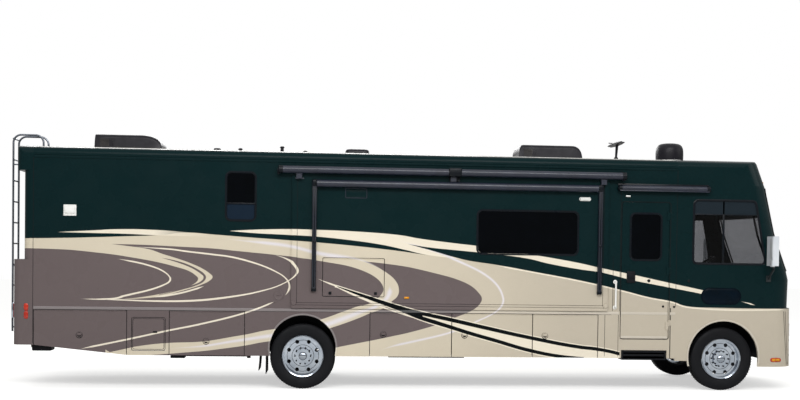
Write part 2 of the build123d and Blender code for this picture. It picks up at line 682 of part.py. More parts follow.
# --- Storage bays --------------------------------------------------------------------------------
with BuildPart() as storage_bays:
    for side in (1, -1):
        y = span(inner_y - bay_depth, inner_y - 5, side)
        inner_span = span(inner_y - bay_depth + bay_sheet, inner_y + 5, side)
        for (low_x, high_x), low_z in ((rear_bay_x, rear_bay_floor_z), (aft_bay_x, bay_floor_z),
                                       (middle_bay_x, bay_floor_z)):
            block((low_x + 12, high_x - 12), y, (low_z, floor_bottom_z))
            block((low_x + 12 + bay_sheet, high_x - 12 - bay_sheet), inner_span,
                  (low_z + bay_sheet, floor_bottom_z + 1), mode=Mode.SUBTRACT)
save(storage_bays.part, "storage_bays")

# =================================================================================================
# Doors
# =================================================================================================


def bay_door(side, x_span, low_z, high_z, low_z_rear=None):
    """A lift-up door whose hinge barrel runs along its top edge, flush with the outer face."""
    axis_z = high_z - barrel_radius - seat_gap
    y_plane = (Plane.XZ.offset(-(body_half_width - bay_door_thickness)) if side > 0
               else Plane.XZ.offset(body_half_width))
    rear_z = low_z if low_z_rear is None else low_z_rear
    with BuildSketch(y_plane) as panel:
        with BuildLine():
            Polyline((x_span[0], rear_z), (x_span[1], low_z), (x_span[1], axis_z),
                     (x_span[0], axis_z), close=True)
        make_face()
    extrude(panel.sketch, amount=-bay_door_thickness)
    rod((x_span[0] + 5, side * body_half_width, axis_z),
        (x_span[1] - 5, side * body_half_width, axis_z), barrel_radius)


def skirt_at(x):
    """Height of the skirt's bottom edge, which rises behind the rear bay."""
    if x >= skirt_rise_x:
        return skirt_z
    slope = (rear_skirt_z - skirt_z) / (skirt_rise_x - rear_seam_x)
    return skirt_z + (skirt_rise_x - x) * slope


# Columns: node name, side, x span, low z, high z, hangs to the skirt's rising edge.
bay_doors = [("right_rear_bay_door", -1, door_row(rear_bay_x, (1,))[0], bay_top_z),
             ("right_aft_bay_door", -1, door_row(aft_bay_x, (1,))[0], bay_top_z),
             ("left_rear_bay_door", 1, door_row(rear_bay_x, (1,))[0], bay_top_z),
             ("left_aft_bay_door", 1, door_row(aft_bay_x, (1,))[0], bay_top_z)]
for number, x_span in enumerate(door_row(middle_bay_x, right_middle_shares), start=1):
    bay_doors.append((f"right_middle_bay_door_{number}", -1, x_span, bay_top_z))
for number, x_span in enumerate(door_row(middle_bay_x, left_middle_shares), start=1):
    bay_doors.append((f"left_middle_bay_door_{number}", 1, x_span, bay_top_z))

for name, side, x_span, high_z in bay_doors:
    with BuildPart() as door:
        bay_door(side, x_span, skirt_at(x_span[1]) + 2, high_z, skirt_at(x_span[0]) + 2)
    save(door.part, name)

with BuildPart() as utility_hatch:
    bay_door(-1, (hatch_x[0] + door_gap, hatch_x[1] - door_gap), hatch_z[0] + door_gap,
             hatch_z[1])
save(utility_hatch.part, "utility_hatch")

# --- Entry door: hinged at its front edge on barrels that stand on the wall ------------------------
entry_door_x = (entry_rear_x + door_gap, entry_rear_x + entry_width - door_gap)
entry_door_z = (entry_bottom_z + door_gap, entry_top_z - door_gap)
entry_hinge_radius = 8
entry_hinge_x = entry_rear_x + entry_width
entry_hinge_y = -(body_half_width + entry_hinge_radius + seat_gap)
entry_window = (entry_rear_x + 140, entry_rear_x + entry_width - 130,
                entry_top_z - 837, entry_top_z - 173)
with BuildPart() as entry_door:
    block(entry_door_x, (-body_half_width, -body_half_width + wall), entry_door_z)
    x0, x1, z0, z1 = entry_window
    with BuildSketch(Plane.XZ.offset(body_half_width + 20)):
        with Locations(((x0 + x1) / 2, (z0 + z1) / 2)):
            RectangleRounded(x1 - x0, z1 - z0, 60)
    extrude(amount=-100, mode=Mode.SUBTRACT)
    for z in (entry_bottom_z + 200, (entry_bottom_z + entry_top_z) / 2, entry_top_z - 200):
        rod((entry_hinge_x, entry_hinge_y, z - 60), (entry_hinge_x, entry_hinge_y, z + 60),
            entry_hinge_radius)
        block((entry_hinge_x - 40, entry_hinge_x), (entry_hinge_y - 4, entry_hinge_y + 4),
              (z - 60, z + 60))
        block((entry_hinge_x - 40, entry_hinge_x - 12), (entry_hinge_y - 4, -body_half_width + 1),
              (z - 60, z + 60))
save(entry_door.part, "entry_door")

with BuildPart() as entry_door_glass:
    with BuildSketch(Plane.XZ.offset(body_half_width - 8)):
        with Locations(((x0 + x1) / 2, (z0 + z1) / 2)):
            RectangleRounded(x1 - x0 - 2 * glass_gap, z1 - z0 - 2 * glass_gap, 60)
    extrude(amount=-glass_thickness)
save(entry_door_glass.part, "entry_door_glass")

# =================================================================================================
# Slide-out room on the right side, with its awnings
# =================================================================================================
slide_floor_z = floor_top_z + seat_gap
slide_window = (slide_front_x - 1839, slide_front_x - 385, floor_top_z + 795,
                floor_top_z + 1408)
cabinet_x = (slide_rear_x + 364, slide_rear_x + 1242)
cabinet_z = (floor_top_z + 150, floor_top_z + 695)
cabinet_back_y = body_half_width - 375
with BuildPart() as slide_room:
    block((slide_rear_x, slide_front_x),
          (-body_half_width - slide_flange_stand - 1, -slide_inner_y),
          (slide_floor_z, slide_top_z))
    block((slide_rear_x + slide_wall, slide_front_x - slide_wall),
          (-body_half_width + slide_wall, -slide_inner_y + 1),
          (slide_floor_z + slide_wall, slide_top_z - slide_wall), mode=Mode.SUBTRACT)
    block((slide_rear_x - slide_flange_lap, slide_front_x + slide_flange_lap),
          (-slide_outer_y, -slide_outer_y + slide_flange),
          (slide_flange_low_z, slide_flange_high_z))
    x0, x1, z0, z1 = slide_window
    with BuildSketch(Plane.XZ.offset(slide_outer_y + 5)):
        with Locations(((x0 + x1) / 2, (z0 + z1) / 2)):
            RectangleRounded(x1 - x0, z1 - z0, 90)
    extrude(amount=-100, mode=Mode.SUBTRACT)
    # The outside cabinet is a box let into the wall, open towards its door.
    block((cabinet_x[0] - 15, cabinet_x[1] + 15), (-body_half_width + 1, -cabinet_back_y),
          (cabinet_z[0] - 15, cabinet_z[1] + 15))
    block(cabinet_x, (-slide_outer_y - 1, -cabinet_back_y - 15), cabinet_z, mode=Mode.SUBTRACT)
save(slide_room.part, "slide_room")

with BuildPart() as slide_glass:
    with BuildSketch(Plane.XZ.offset(slide_outer_y - 8)):
        with Locations(((x0 + x1) / 2, (z0 + z1) / 2)):
            RectangleRounded(x1 - x0 - 2 * glass_gap, z1 - z0 - 2 * glass_gap, 90)
    extrude(amount=-glass_thickness)
save(slide_glass.part, "slide_glass")

with BuildPart() as cabinet_door:
    axis_z = cabinet_z[1] - barrel_radius - seat_gap
    block((cabinet_x[0] + door_gap, cabinet_x[1] - door_gap),
          (-slide_outer_y, -slide_outer_y + 30), (cabinet_z[0] + door_gap, axis_z))
    rod((cabinet_x[0] + door_gap + 5, -slide_outer_y, axis_z),
        (cabinet_x[1] - door_gap - 5, -slide_outer_y, axis_z), barrel_radius)
save(cabinet_door.part, "cabinet_door")

topper_x = (slide_rear_x - 260, slide_front_x + 298)
topper_z = slide_flange_high_z + 18
topper_bracket_drop = 128
patio_tube_x = (slide_rear_x + 270, slide_front_x - 106)
patio_tube_z = topper_z - 188
tube_y = -(slide_outer_y + awning_tube_radius + 12)
patio_arm_low_z = floor_top_z + 225
patio_arm_x = (patio_tube_x[0] - 30, patio_tube_x[1] + 49)
arm_width = 62
with BuildPart() as slide_awnings:
    # Topper roller with an end bracket at each end and one in the middle.
    rod((topper_x[0], tube_y, topper_z), (topper_x[1], tube_y, topper_z), awning_tube_radius)
    for x in (slide_rear_x + 20, (slide_rear_x + slide_front_x) / 2, slide_front_x - 20):
        block((x - 40, x + 40), (tube_y, -slide_outer_y),
              (topper_z - topper_bracket_drop, topper_z))
    rod((patio_tube_x[0], tube_y, patio_tube_z), (patio_tube_x[1], tube_y, patio_tube_z),
        awning_tube_radius)
    for x in patio_arm_x:
        block((x - arm_width / 2, x + arm_width / 2), (-slide_outer_y - 48, -slide_outer_y),
              (patio_arm_low_z, patio_tube_z + 40))
save(slide_awnings.part, "slide_awnings")

door_awning_x = (entry_rear_x - 87, entry_rear_x + 1303)
door_awning_z = (entry_top_z + 113, entry_top_z + 265)
with BuildPart() as door_awning:
    block(door_awning_x, (-body_half_width - 100, -body_half_width), door_awning_z)
    fillet(door_awning.edges().filter_by(Axis.X).sort_by(Axis.Y)[:2], radius=45)
save(door_awning.part, "door_awning")

# =================================================================================================
# Cab
# =================================================================================================
dash_z = (floor_top_z + 240, floor_top_z + 560)
dash_back_x = nose_x - 713
driver_y = body_half_width - 735
steering_centre = Vector(dash_back_x - 260, driver_y, floor_top_z + 650)
column_tilt = 52            # the steering column's axis above the horizontal
column_axis = Vector(-math.cos(math.radians(column_tilt)), 0, math.sin(math.radians(column_tilt)))
with BuildPart() as dashboard:
    with BuildSketch(Plane.XY.offset(dash_z[0])):
        crowned_outline(body_half_width, nose_x - 110, front_bow_radius, front_corner_radius,
                        wall + 10, dash_back_x, lambda p: (p[1], p[0]))
    extrude(amount=dash_z[1] - dash_z[0])
    # The firewall below it, and the engine cover that runs back between the seats.
    firewall_x = (nose_x - 353, nose_x - 308)
    block(firewall_x, (-body_half_width + 275, body_half_width - 275),
          (floor_top_z, dash_z[0] + 1))
    block((front_axle_x - 330, firewall_x[0] + 20), (-300, 300), (floor_top_z, dash_z[0] + 20))
    hub_back = steering_centre - column_axis * (30 + seat_gap)
    rod(tuple(hub_back - column_axis * 460), tuple(hub_back), 38)
save(dashboard.part, "dashboard")

steering_wheel_radius = 225
with BuildPart() as steering_wheel:
    wheel_plane = Plane(origin=steering_centre, z_dir=column_axis)
    with Locations(wheel_plane.location):
        Torus(steering_wheel_radius, 16)
        Cylinder(55, 60)
        for turn in (0, 120, 240):
            with Locations(Rot(0, 0, turn) * Pos(steering_wheel_radius / 2 + 10, 0, 0)):
                Box(steering_wheel_radius - 20, 34, 16)
save(steering_wheel.part, "steering_wheel")

seat_x = (steering_centre.X - 820, steering_centre.X - 280)
seat_cushion_z = (floor_top_z + 310, floor_top_z + 460)
seat_half_width = 270
with BuildPart() as cab_seats:
    for y_centre in (driver_y, -driver_y - 80):
        y = (y_centre - seat_half_width, y_centre + seat_half_width)
        block((seat_x[0] + 100, seat_x[1] - 60), (y_centre - 170, y_centre + 170),
              (floor_top_z, seat_cushion_z[0] + 10))
        block((seat_x[0] + 20, seat_x[1]), y, seat_cushion_z)
        block((seat_x[0] - 60, seat_x[0] + 90), y,
              (seat_cushion_z[0] + 10, seat_cushion_z[0] + 870))
save(cab_seats.part, "cab_seats")

# =================================================================================================
# Roof equipment, ladder and mirrors
# =================================================================================================


def roof_skin_z(y):
    """Height of the roof's outer surface at a distance from the centre line."""
    return roof_top_z - roof_crown_radius + math.sqrt(roof_crown_radius**2 - y**2)


ac_half_width = 350
roof_cut_z = roof_top_z - 150   # fittings start below the skin and are cut to it
# Columns: rear x, front x, top z.
air_conditioner_spans = [(rear_axle_x - 3185, rear_axle_x - 2105, roof_top_z + 205),
                         (front_axle_x - 2940, front_axle_x - 1900, roof_top_z + 195)]
with BuildPart() as air_conditioners:
    for low_x, high_x, top_z in air_conditioner_spans:
        with BuildSketch(Plane.XZ.offset(-ac_half_width)):
            with BuildLine():
                base_z = roof_skin_z(ac_half_width) - 2
                Polyline((low_x, base_z), (high_x, base_z), (high_x, base_z + 60),
                         (high_x - 220, top_z), (low_x + 90, top_z), (low_x, base_z + 120),
                         close=True)
            make_face()
        extrude(amount=2 * ac_half_width)
        section_prism(low_x - 1, high_x + 1, 0, wall_top_z, mode=Mode.SUBTRACT)
save(air_conditioners.part, "air_conditioners")

# Columns: centre x, y, length, width, height above the roof.
roof_vents = [(rear_axle_x - 1320, -250, 60, 60, 90), (rear_axle_x - 1015, 200, 360, 360, 75),
              (rear_axle_x - 360, -300, 60, 60, 90), (rear_axle_x - 30, 350, 60, 60, 80),
              (rear_axle_x + 765, 0, 380, 380, 80), (rear_axle_x + 1430, 250, 420, 380, 45)]
with BuildPart() as roof_fittings:
    for x, y, length, width, height in roof_vents:
        block((x - length / 2, x + length / 2), (y - width / 2, y + width / 2),
              (roof_cut_z, roof_top_z + height))
    mast_x = front_axle_x - 1350
    block((mast_x - 60, mast_x + 60), (-60, 60), (roof_cut_z, roof_top_z + 60))
    rod((mast_x, 0, roof_top_z + 50), (mast_x, 0, roof_top_z + 250), 22)
    block((mast_x - 35, mast_x + 35), (-420, 420), (roof_top_z + 240, roof_top_z + 285))
    section_prism(rear_seam_x, front_seam_x, 0, wall_top_z, mode=Mode.SUBTRACT)
save(roof_fittings.part, "roof_fittings")

dome_x = front_axle_x - 493
dome_radius = 225
dome_side_z = roof_top_z + 90
dome_top_z = dome_side_z + 198
with BuildPart() as satellite_dome:
    with BuildSketch(Plane.XZ):
        with BuildLine():
            Polyline((0, roof_cut_z), (dome_radius, roof_cut_z), (dome_radius, dome_side_z))
            Spline((dome_radius, dome_side_z), (dome_radius * 0.72, dome_side_z + 140),
                   (0, dome_top_z))
            Line((0, dome_top_z), (0, roof_cut_z))
        make_face()
    revolve(axis=Axis.Z)
dome = satellite_dome.part.moved(Location((dome_x, 0, 0)))
with BuildPart() as satellite_dome:
    add(dome)
    section_prism(dome_x - 400, dome_x + 400, 0, wall_top_z, mode=Mode.SUBTRACT)
save(satellite_dome.part, "satellite_dome")

ladder_y = (-720, -420)
ladder_low_z = rear_skirt_z + 150
ladder_top_z = roof_top_z + 125
ladder_x = tail_x - ladder_reach + ladder_tube_radius
ladder_top_length = 420
rung_radius = 11
rung_pitch = 300
# Columns: height, how far the skin is set back there.
stand_offs = [(rear_skirt_z + 390, 0), (bulge_top_z - 100, 0),
              (overhang_z + 110, overhang_setback)]
with BuildPart() as roof_ladder:
    for y in ladder_y:
        with BuildLine():
            FilletPolyline((ladder_x, y, ladder_low_z), (ladder_x, y, ladder_top_z),
                           (ladder_x + ladder_top_length, y, ladder_top_z),
                           (ladder_x + ladder_top_length, y, roof_skin_z(y) - 20), radius=110)
        with BuildSketch(Plane(origin=(ladder_x, y, ladder_low_z), z_dir=Z_AXIS)):
            Circle(ladder_tube_radius)
        sweep()
        # Stand-off brackets to the bulge and to the overhanging top.
        for z, setback in stand_offs:
            rod((ladder_x, y, z), (rear_skin_x(y, setback) + 20, y, z), 10)
    # Feet and stand-offs end on the skin.
    section_prism(tail_x + 150, front_seam_x, 0, ladder_low_z, mode=Mode.SUBTRACT)
    for low_z, high_z, setback in rear_bands:
        rear_band(low_z, min(high_z, wall_top_z), setback, 0, mode=Mode.SUBTRACT)
save(roof_ladder.part, "roof_ladder")

with BuildPart() as ladder_rungs:
    for i in range(int((ladder_top_z - 100 - ladder_low_z) / rung_pitch) + 1):
        z = ladder_low_z + 60 + i * rung_pitch
        rod((ladder_x, ladder_y[0], z), (ladder_x, ladder_y[1], z), rung_radius)
    rod((ladder_x + 300, ladder_y[0], ladder_top_z), (ladder_x + 300, ladder_y[1], ladder_top_z),
        rung_radius)
    # The rungs are welded between the rails.
    add(roof_ladder.part, mode=Mode.SUBTRACT)
save(ladder_rungs.part, "ladder_rungs")

mirror_x = (front_axle_x + 600, front_axle_x + 690)
mirror_y = (body_half_width + 85, body_half_width + 325)
mirror_z = (floor_top_z + 670, floor_top_z + 1100)
mirror_arm = (front_axle_x + 660, body_half_width + 205, mirror_z[0] - 50)
mirror_foot_z = mirror_z[0] - 190
with BuildPart() as mirrors:
    for side in (1, -1):
        block(mirror_x, span(*mirror_y, side), mirror_z)
        elbow = (mirror_arm[0], side * mirror_arm[1], mirror_arm[2])
        rod((elbow[0], elbow[1], mirror_z[0] + 10), elbow, 16)
        rod(elbow, (elbow[0], side * (body_half_width + 10), mirror_foot_z), 16)
        block((elbow[0] - 35, elbow[0] + 35), span(body_half_width, body_half_width + 14, side),
              (mirror_foot_z - 45, mirror_foot_z + 45))
save(mirrors.part, "mirrors")

# The pipe runs beside the rail, drops behind the rear seam and ends under the rear cap.
exhaust_radius = 40
exhaust_y = -rail_y[1] - 90
exhaust_z = rail_z[0] + 75
exhaust_drop_x = rear_seam_x + 75
exhaust_tip_z = rear_skirt_z - exhaust_radius - 15
with BuildPart() as exhaust_pipe:
    rod((exhaust_drop_x, exhaust_y, exhaust_z), (rear_axle_x - 1200, exhaust_y, exhaust_z),
        exhaust_radius)
    rod((exhaust_drop_x, exhaust_y, exhaust_tip_z - 10),
        (exhaust_drop_x, exhaust_y, exhaust_z + 10), exhaust_radius)
    rod((tail_x + 115, exhaust_y, exhaust_tip_z), (exhaust_drop_x, exhaust_y, exhaust_tip_z),
        exhaust_radius)
    for x in (rear_axle_x - 3400, rear_axle_x - 1500):
        block((x - 15, x + 15), (exhaust_y, -rail_y[1]), (exhaust_z - 10, exhaust_z + 10))
save(exhaust_pipe.part, "exhaust_pipe")
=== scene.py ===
# %% [markdown]
# # A coach motorhome, dressed cell by cell
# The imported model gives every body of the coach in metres: forward is +X, the left side is +Y and up is +Z.
# This lesson adds what a maker would fit to those bodies: paint, glass, seals, tread, lamps and upholstery.
# Nothing here moves a body. Each piece rides on the body that carries it on the real coach.

import math

import bmesh
import bpy
import numpy as np
from mathutils import Matrix, Vector


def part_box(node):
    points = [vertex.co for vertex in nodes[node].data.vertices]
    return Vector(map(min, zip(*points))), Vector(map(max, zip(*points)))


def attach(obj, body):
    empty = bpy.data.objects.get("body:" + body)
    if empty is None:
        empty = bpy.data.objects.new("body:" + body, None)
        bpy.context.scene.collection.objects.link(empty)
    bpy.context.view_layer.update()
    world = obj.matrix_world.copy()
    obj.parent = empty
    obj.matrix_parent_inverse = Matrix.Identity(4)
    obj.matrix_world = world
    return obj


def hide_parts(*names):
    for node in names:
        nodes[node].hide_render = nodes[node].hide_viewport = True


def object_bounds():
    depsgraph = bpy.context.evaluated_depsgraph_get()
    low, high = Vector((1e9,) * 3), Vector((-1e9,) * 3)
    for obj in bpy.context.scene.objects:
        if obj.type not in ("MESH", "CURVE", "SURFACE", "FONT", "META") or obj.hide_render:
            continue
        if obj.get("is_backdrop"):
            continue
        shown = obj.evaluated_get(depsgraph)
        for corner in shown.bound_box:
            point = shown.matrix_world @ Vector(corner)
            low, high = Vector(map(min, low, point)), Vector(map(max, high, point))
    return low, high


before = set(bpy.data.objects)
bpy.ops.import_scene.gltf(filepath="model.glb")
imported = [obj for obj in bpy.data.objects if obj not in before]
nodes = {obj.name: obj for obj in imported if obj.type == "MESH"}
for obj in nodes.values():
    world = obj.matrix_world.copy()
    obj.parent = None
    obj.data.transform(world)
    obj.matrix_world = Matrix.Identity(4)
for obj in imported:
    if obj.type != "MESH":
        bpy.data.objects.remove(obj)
cad_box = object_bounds()
scene = bpy.context.scene

# %% [markdown]
# Paint chips are read as sRGB hex, but Blender works in linear light, so one function turns hex to linear.
# A second small function adds a node with its settings and feeds, and every material below is built with it.

# %% Colour and node helpers


def colour(code):
    """The linear colour of an sRGB hex code."""
    parts = [int(code[i : i + 2], 16) / 255 for i in (1, 3, 5)]
    return [p / 12.92 if p < 0.04045 else ((p + 0.055) / 1.055) ** 2.4 for p in parts] + [1.0]


def add(tree, kind, feeds=(), **settings):
    """Adds one node. Feeds go to its inputs by place or name: a node, a socket or a plain value."""
    node = tree.nodes.new(kind if "Node" in kind else "ShaderNode" + kind)
    for name, value in settings.items():
        setattr(node, name, value)
    for place, value in feeds.items() if isinstance(feeds, dict) else enumerate(feeds):
        if isinstance(value, bpy.types.Node):
            value = next(s for s in value.outputs if s.enabled)
        if isinstance(value, bpy.types.NodeSocket):
            tree.links.new(value, node.inputs[place])
        elif value is not None:
            node.inputs[place].default_value = value
    return node


def maths(tree, operation, *feeds, **settings):
    return add(tree, "Math", feeds, operation=operation, **settings)


def vectors(tree, operation, *feeds):
    return add(tree, "VectorMath", feeds, operation=operation)


def ramp(tree, feed, from_low, from_high, to_low, to_high):
    """Straight from one range to another, and level beyond it."""
    return add(tree, "MapRange", [feed, from_low, from_high, to_low, to_high])


def blend(tree, share, first, second):
    """The first colour where the share is 0 and the second where it is 1."""
    return add(tree, "Mix", {0: share, 6: first, 7: second}, data_type="RGBA")


def noise(tree, coords, scale, detail, **feeds):
    return add(tree, "TexNoise", {"Vector": coords, "Scale": scale, "Detail": detail} | feeds)


def relief(tree, height, strength, metres):
    return add(tree, "Bump", {"Strength": strength, "Distance": metres, "Height": height})


def new_finish(name):
    """A material with an empty tree, and the Object coordinates that its pattern is drawn in."""
    material = bpy.data.materials.new(name)
    material.use_nodes = True
    tree = material.node_tree
    tree.nodes.clear()
    return material, tree, add(tree, "TexCoord").outputs["Object"]


def top_coat(tree, tint, rough, bump, **sockets):
    """Ends a tree in one shader with its colour, roughness and relief."""
    feeds = {"Base Color": tint, "Roughness": rough, "Normal": bump} | sockets
    add(tree, "OutputMaterial", [add(tree, "BsdfPrincipled", feeds)])


print("dark green in linear light", [round(c, 4) for c in colour("#14272A")])

# %% [markdown]
# The camera stands 18 m off the right side at eye height, a little behind the middle, with a 53 mm lens. A
# far stand keeps the long body's lines nearly parallel. A small roll and shift place the coach in the frame.

# %% Camera
eye = Vector((-1.2407, -18.1375, 1.9368))
yaw, pitch, roll = (math.radians(a) for a in (5.3665, -1.3243, 0.8234))
ahead = Vector((math.sin(yaw) * math.cos(pitch), math.cos(yaw) * math.cos(pitch), math.sin(pitch)))
level = Vector((math.cos(yaw), -math.sin(yaw), 0))
plumb = level.cross(ahead)
across = math.cos(roll) * level + math.sin(roll) * plumb
upward = -math.sin(roll) * level + math.cos(roll) * plumb
lens = bpy.data.cameras.new("coach_camera")
lens.sensor_width = 36
lens.lens = 53.09
lens.shift_x, lens.shift_y = -0.05, 0.10325
lens.clip_end = 200
camera = bpy.data.objects.new("coach_camera", lens)
camera.matrix_world = Matrix(
    [
        [across.x, upward.x, -ahead.x, eye.x],
        [across.y, upward.y, -ahead.y, eye.y],
        [across.z, upward.z, -ahead.z, eye.z],
        [0, 0, 0, 1],
    ]
)
scene.collection.objects.link(camera)
scene.camera = camera
scene.view_settings.view_transform = "Standard"
print("camera", tuple(round(c, 2) for c in eye))

# %% [markdown]
# A coach this glossy is lit as in a large white studio: a pale dome of light, one long softbox over the near
# side and weaker ones in front and behind. The camera and clear glass see plain white. Gloss sees a dome
# that is darker near the ground, as a real yard is, which keeps deep paint deep.

# %% World, floor and lamps
world = bpy.data.worlds.new("studio_dome")
scene.world = world
world.use_nodes = True
sky = world.node_tree
sky.nodes.clear()
light_path = add(sky, "LightPath")
place = add(sky, "TexCoord")
height = add(sky, "SeparateXYZ", [place.outputs["Generated"]])
dome = add(
    sky,
    "MapRange",
    {0: height.outputs["Z"], 1: 0.02, 2: 0.75, 3: 0.30, 4: 1.0},
    interpolation_type="SMOOTHSTEP",
)
seen = maths(sky, "MAXIMUM", light_path.outputs["Is Camera Ray"], light_path.outputs["Is Transmission Ray"])
gloss = add(sky, "Mix", {0: light_path.outputs["Is Glossy Ray"], 2: 0.62, 3: dome})
strength = add(sky, "Mix", {0: seen, 2: gloss, 3: 1.0})
shine = add(sky, "Background", {0: [1, 1, 1, 1], 1: strength})
add(sky, "OutputWorld", [shine])


def softbox(name, at, towards, size, power):
    """A large soft lamp at a point, facing another."""
    lamp = bpy.data.lights.new(name, "AREA")
    lamp.shape = "RECTANGLE"
    lamp.size, lamp.size_y = size
    lamp.energy = power
    holder = bpy.data.objects.new(name, lamp)
    turn = (Vector(towards) - Vector(at)).to_track_quat("-Z", "Y").to_matrix().to_4x4()
    holder.matrix_world = Matrix.Translation(at) @ turn
    scene.collection.objects.link(holder)


softbox("long_softbox", (0, -13, 9.5), (0, -1, 1.6), (14, 4), 1500)
softbox("front_softbox", (14, -4, 7), (4, 0, 1.8), (6, 4), 120)
softbox("back_softbox", (-3, 13, 8), (0, 0, 2), (12, 4), 900)

floor_mesh = bpy.data.meshes.new("studio_floor")
half = 60
floor_mesh.from_pydata([(-half, -half, 0), (half, -half, 0), (half, half, 0), (-half, half, 0)], [], [(0, 1, 2, 3)])
studio_floor = bpy.data.objects.new("studio_floor", floor_mesh)
scene.collection.objects.link(studio_floor)
studio_floor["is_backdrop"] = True
floor_paint = bpy.data.materials.new("pale_studio_floor")
floor_paint.use_nodes = True
tree = floor_paint.node_tree
tree.nodes.clear()
light_path = add(tree, "LightPath")
seen = maths(tree, "MAXIMUM", light_path.outputs["Is Camera Ray"], light_path.outputs["Is Transmission Ray"])
lit = add(tree, "BsdfDiffuse", [colour("#DCDCDA")])
glow = add(tree, "Emission", [[1, 1, 1, 1], maths(tree, "MULTIPLY", seen, 0.53)])
both = add(tree, "AddShader", [lit, glow])
add(tree, "OutputMaterial", [both])
floor_mesh.materials.append(floor_paint)
print("floor", 2 * half, "m square")

# %% [markdown]
# The coach's paint is one scheme sprayed over all its panels with masking tape: deep green above, taupe and
# beige below, and long tan, cream and black ribbons that sweep from nose to tail across every panel gap.
# Ribbon edges that run along the coach are given as height against length, by Float Curve nodes. Those that
# hook round like a fish hook can't be, so they are given in ring space: the angle about a centre gives the
# reach from it. Object coordinates are the coach's own metres, so a door keeps its part of a ribbon as it
# opens, and the left side mirrors the right.

# %% Ribbon edges
# Every edge is a row of places along the coach and up, in metres.
along_edges = {
    "tan_top": (
        "-5.45 2.092, -4.9 2.106, -4.2 2.135, -3.57 2.168, -3.25 2.205, -2.85 2.183, -2.53 2.162, -2.17 2.14, "
        "-1.81 2.119, -1.45 2.097, -0.91 2.055, -0.24 1.988, 0.15 1.939, 0.57 1.905, 0.76 1.865, 1.13 1.815, "
        "1.69 1.721, 2.38 1.601, 3 1.469, 3.45 1.362, 3.73 1.316, 4.05 1.234, 4.4 1.226, 5.49 1.219"
    ),
    "first_cream_top": "-5.02 2.184, -4.55 2.215, -4.03 2.241, -3.68 2.236, -3.25 2.21, -2.85 2.183",
    "first_cream_low": "-5.02 2.185, -4.55 2.179, -4.2 2.177, -3.57 2.16, -2.85 2.15",
    "main_cream_top": (
        "-2.66 2.238, -2.21 2.266, -1.81 2.278, -1.45 2.274, -0.91 2.26, -0.24 2.216, 0.02 2.174, 0.57 2.11, "
        "0.89 2.078, 1.59 1.978, 2.38 1.851, 2.63 1.798, 3.17 1.694, 3.68 1.589, 4.2 1.483, 4.6 1.395"
    ),
    "main_cream_low": (
        "-2.66 2.24, -2.28 2.212, -1.81 2.195, -1.45 2.179, -1 2.14, -0.55 2.084, -0.16 2.007, 0.15 1.94, "
        "0.57 1.895, 1.6 1.8, 2.38 1.7, 3.18 1.58, 4.2 1.4, 4.6 1.33"
    ),
    "green_band_top": (
        "-0.13 2.092, 0.21 2.044, 0.57 2.013, 0.91 1.985, 1.6 1.91, 1.88 1.847, 2.38 1.762, 2.63 1.732, 3.18 1.611, "
        "3.68 1.521, 4.2 1.426, 4.6 1.34"
    ),
    "green_band_low": (
        "-0.13 2.092, 0.21 2.004, 0.61 1.896, 0.76 1.865, 1.13 1.815, 1.69 1.721, 2.38 1.601, 3 1.469, 3.45 1.362, "
        "3.73 1.316, 4.05 1.234, 4.4 1.227, 5.49 1.22"
    ),
    "upper_black_top": (
        "-1.14 1.481, -0.72 1.354, -0.23 1.206, 0.04 1.135, 0.52 1.037, 0.96 0.94, 1.67 0.788, 2.4 0.657, 2.65 0.63, "
        "3.02 0.555"
    ),
    "upper_black_low": (
        "-1.14 1.479, -0.72 1.32, -0.23 1.14, 0.04 1.082, 0.52 0.981, 0.96 0.884, 1.67 0.735, 2.4 0.606, 2.65 0.58, "
        "3.02 0.505"
    ),
    "lower_black_top": (
        "-0.23 1.15, 0.04 1.074, 0.5 0.936, 0.78 0.849, 1.15 0.747, 1.67 0.602, 2.09 0.522, 2.45 0.487"
    ),
    "lower_black_low": (
        "-1.14 1.473, -0.72 1.308, -0.23 1.13, 0.04 1.019, 0.5 0.88, 0.78 0.795, 1.15 0.693, 1.67 0.55, 2.09 0.474, "
        "2.45 0.44"
    ),
}
# Each ring space has a centre and a size, in metres along the coach and up.
ring_spaces = {
    "tail_hook": ((-4.6, 1.58), (1.6, 0.36)),
    "wide_hook": ((-3.2, 1.55), (1.45, 0.42)),
    "arch_hook": ((-1.6, 1.35), (1.3, 0.55)),
    "taupe_hook": ((-1.2, 1.3), (2.1, 0.65)),
}
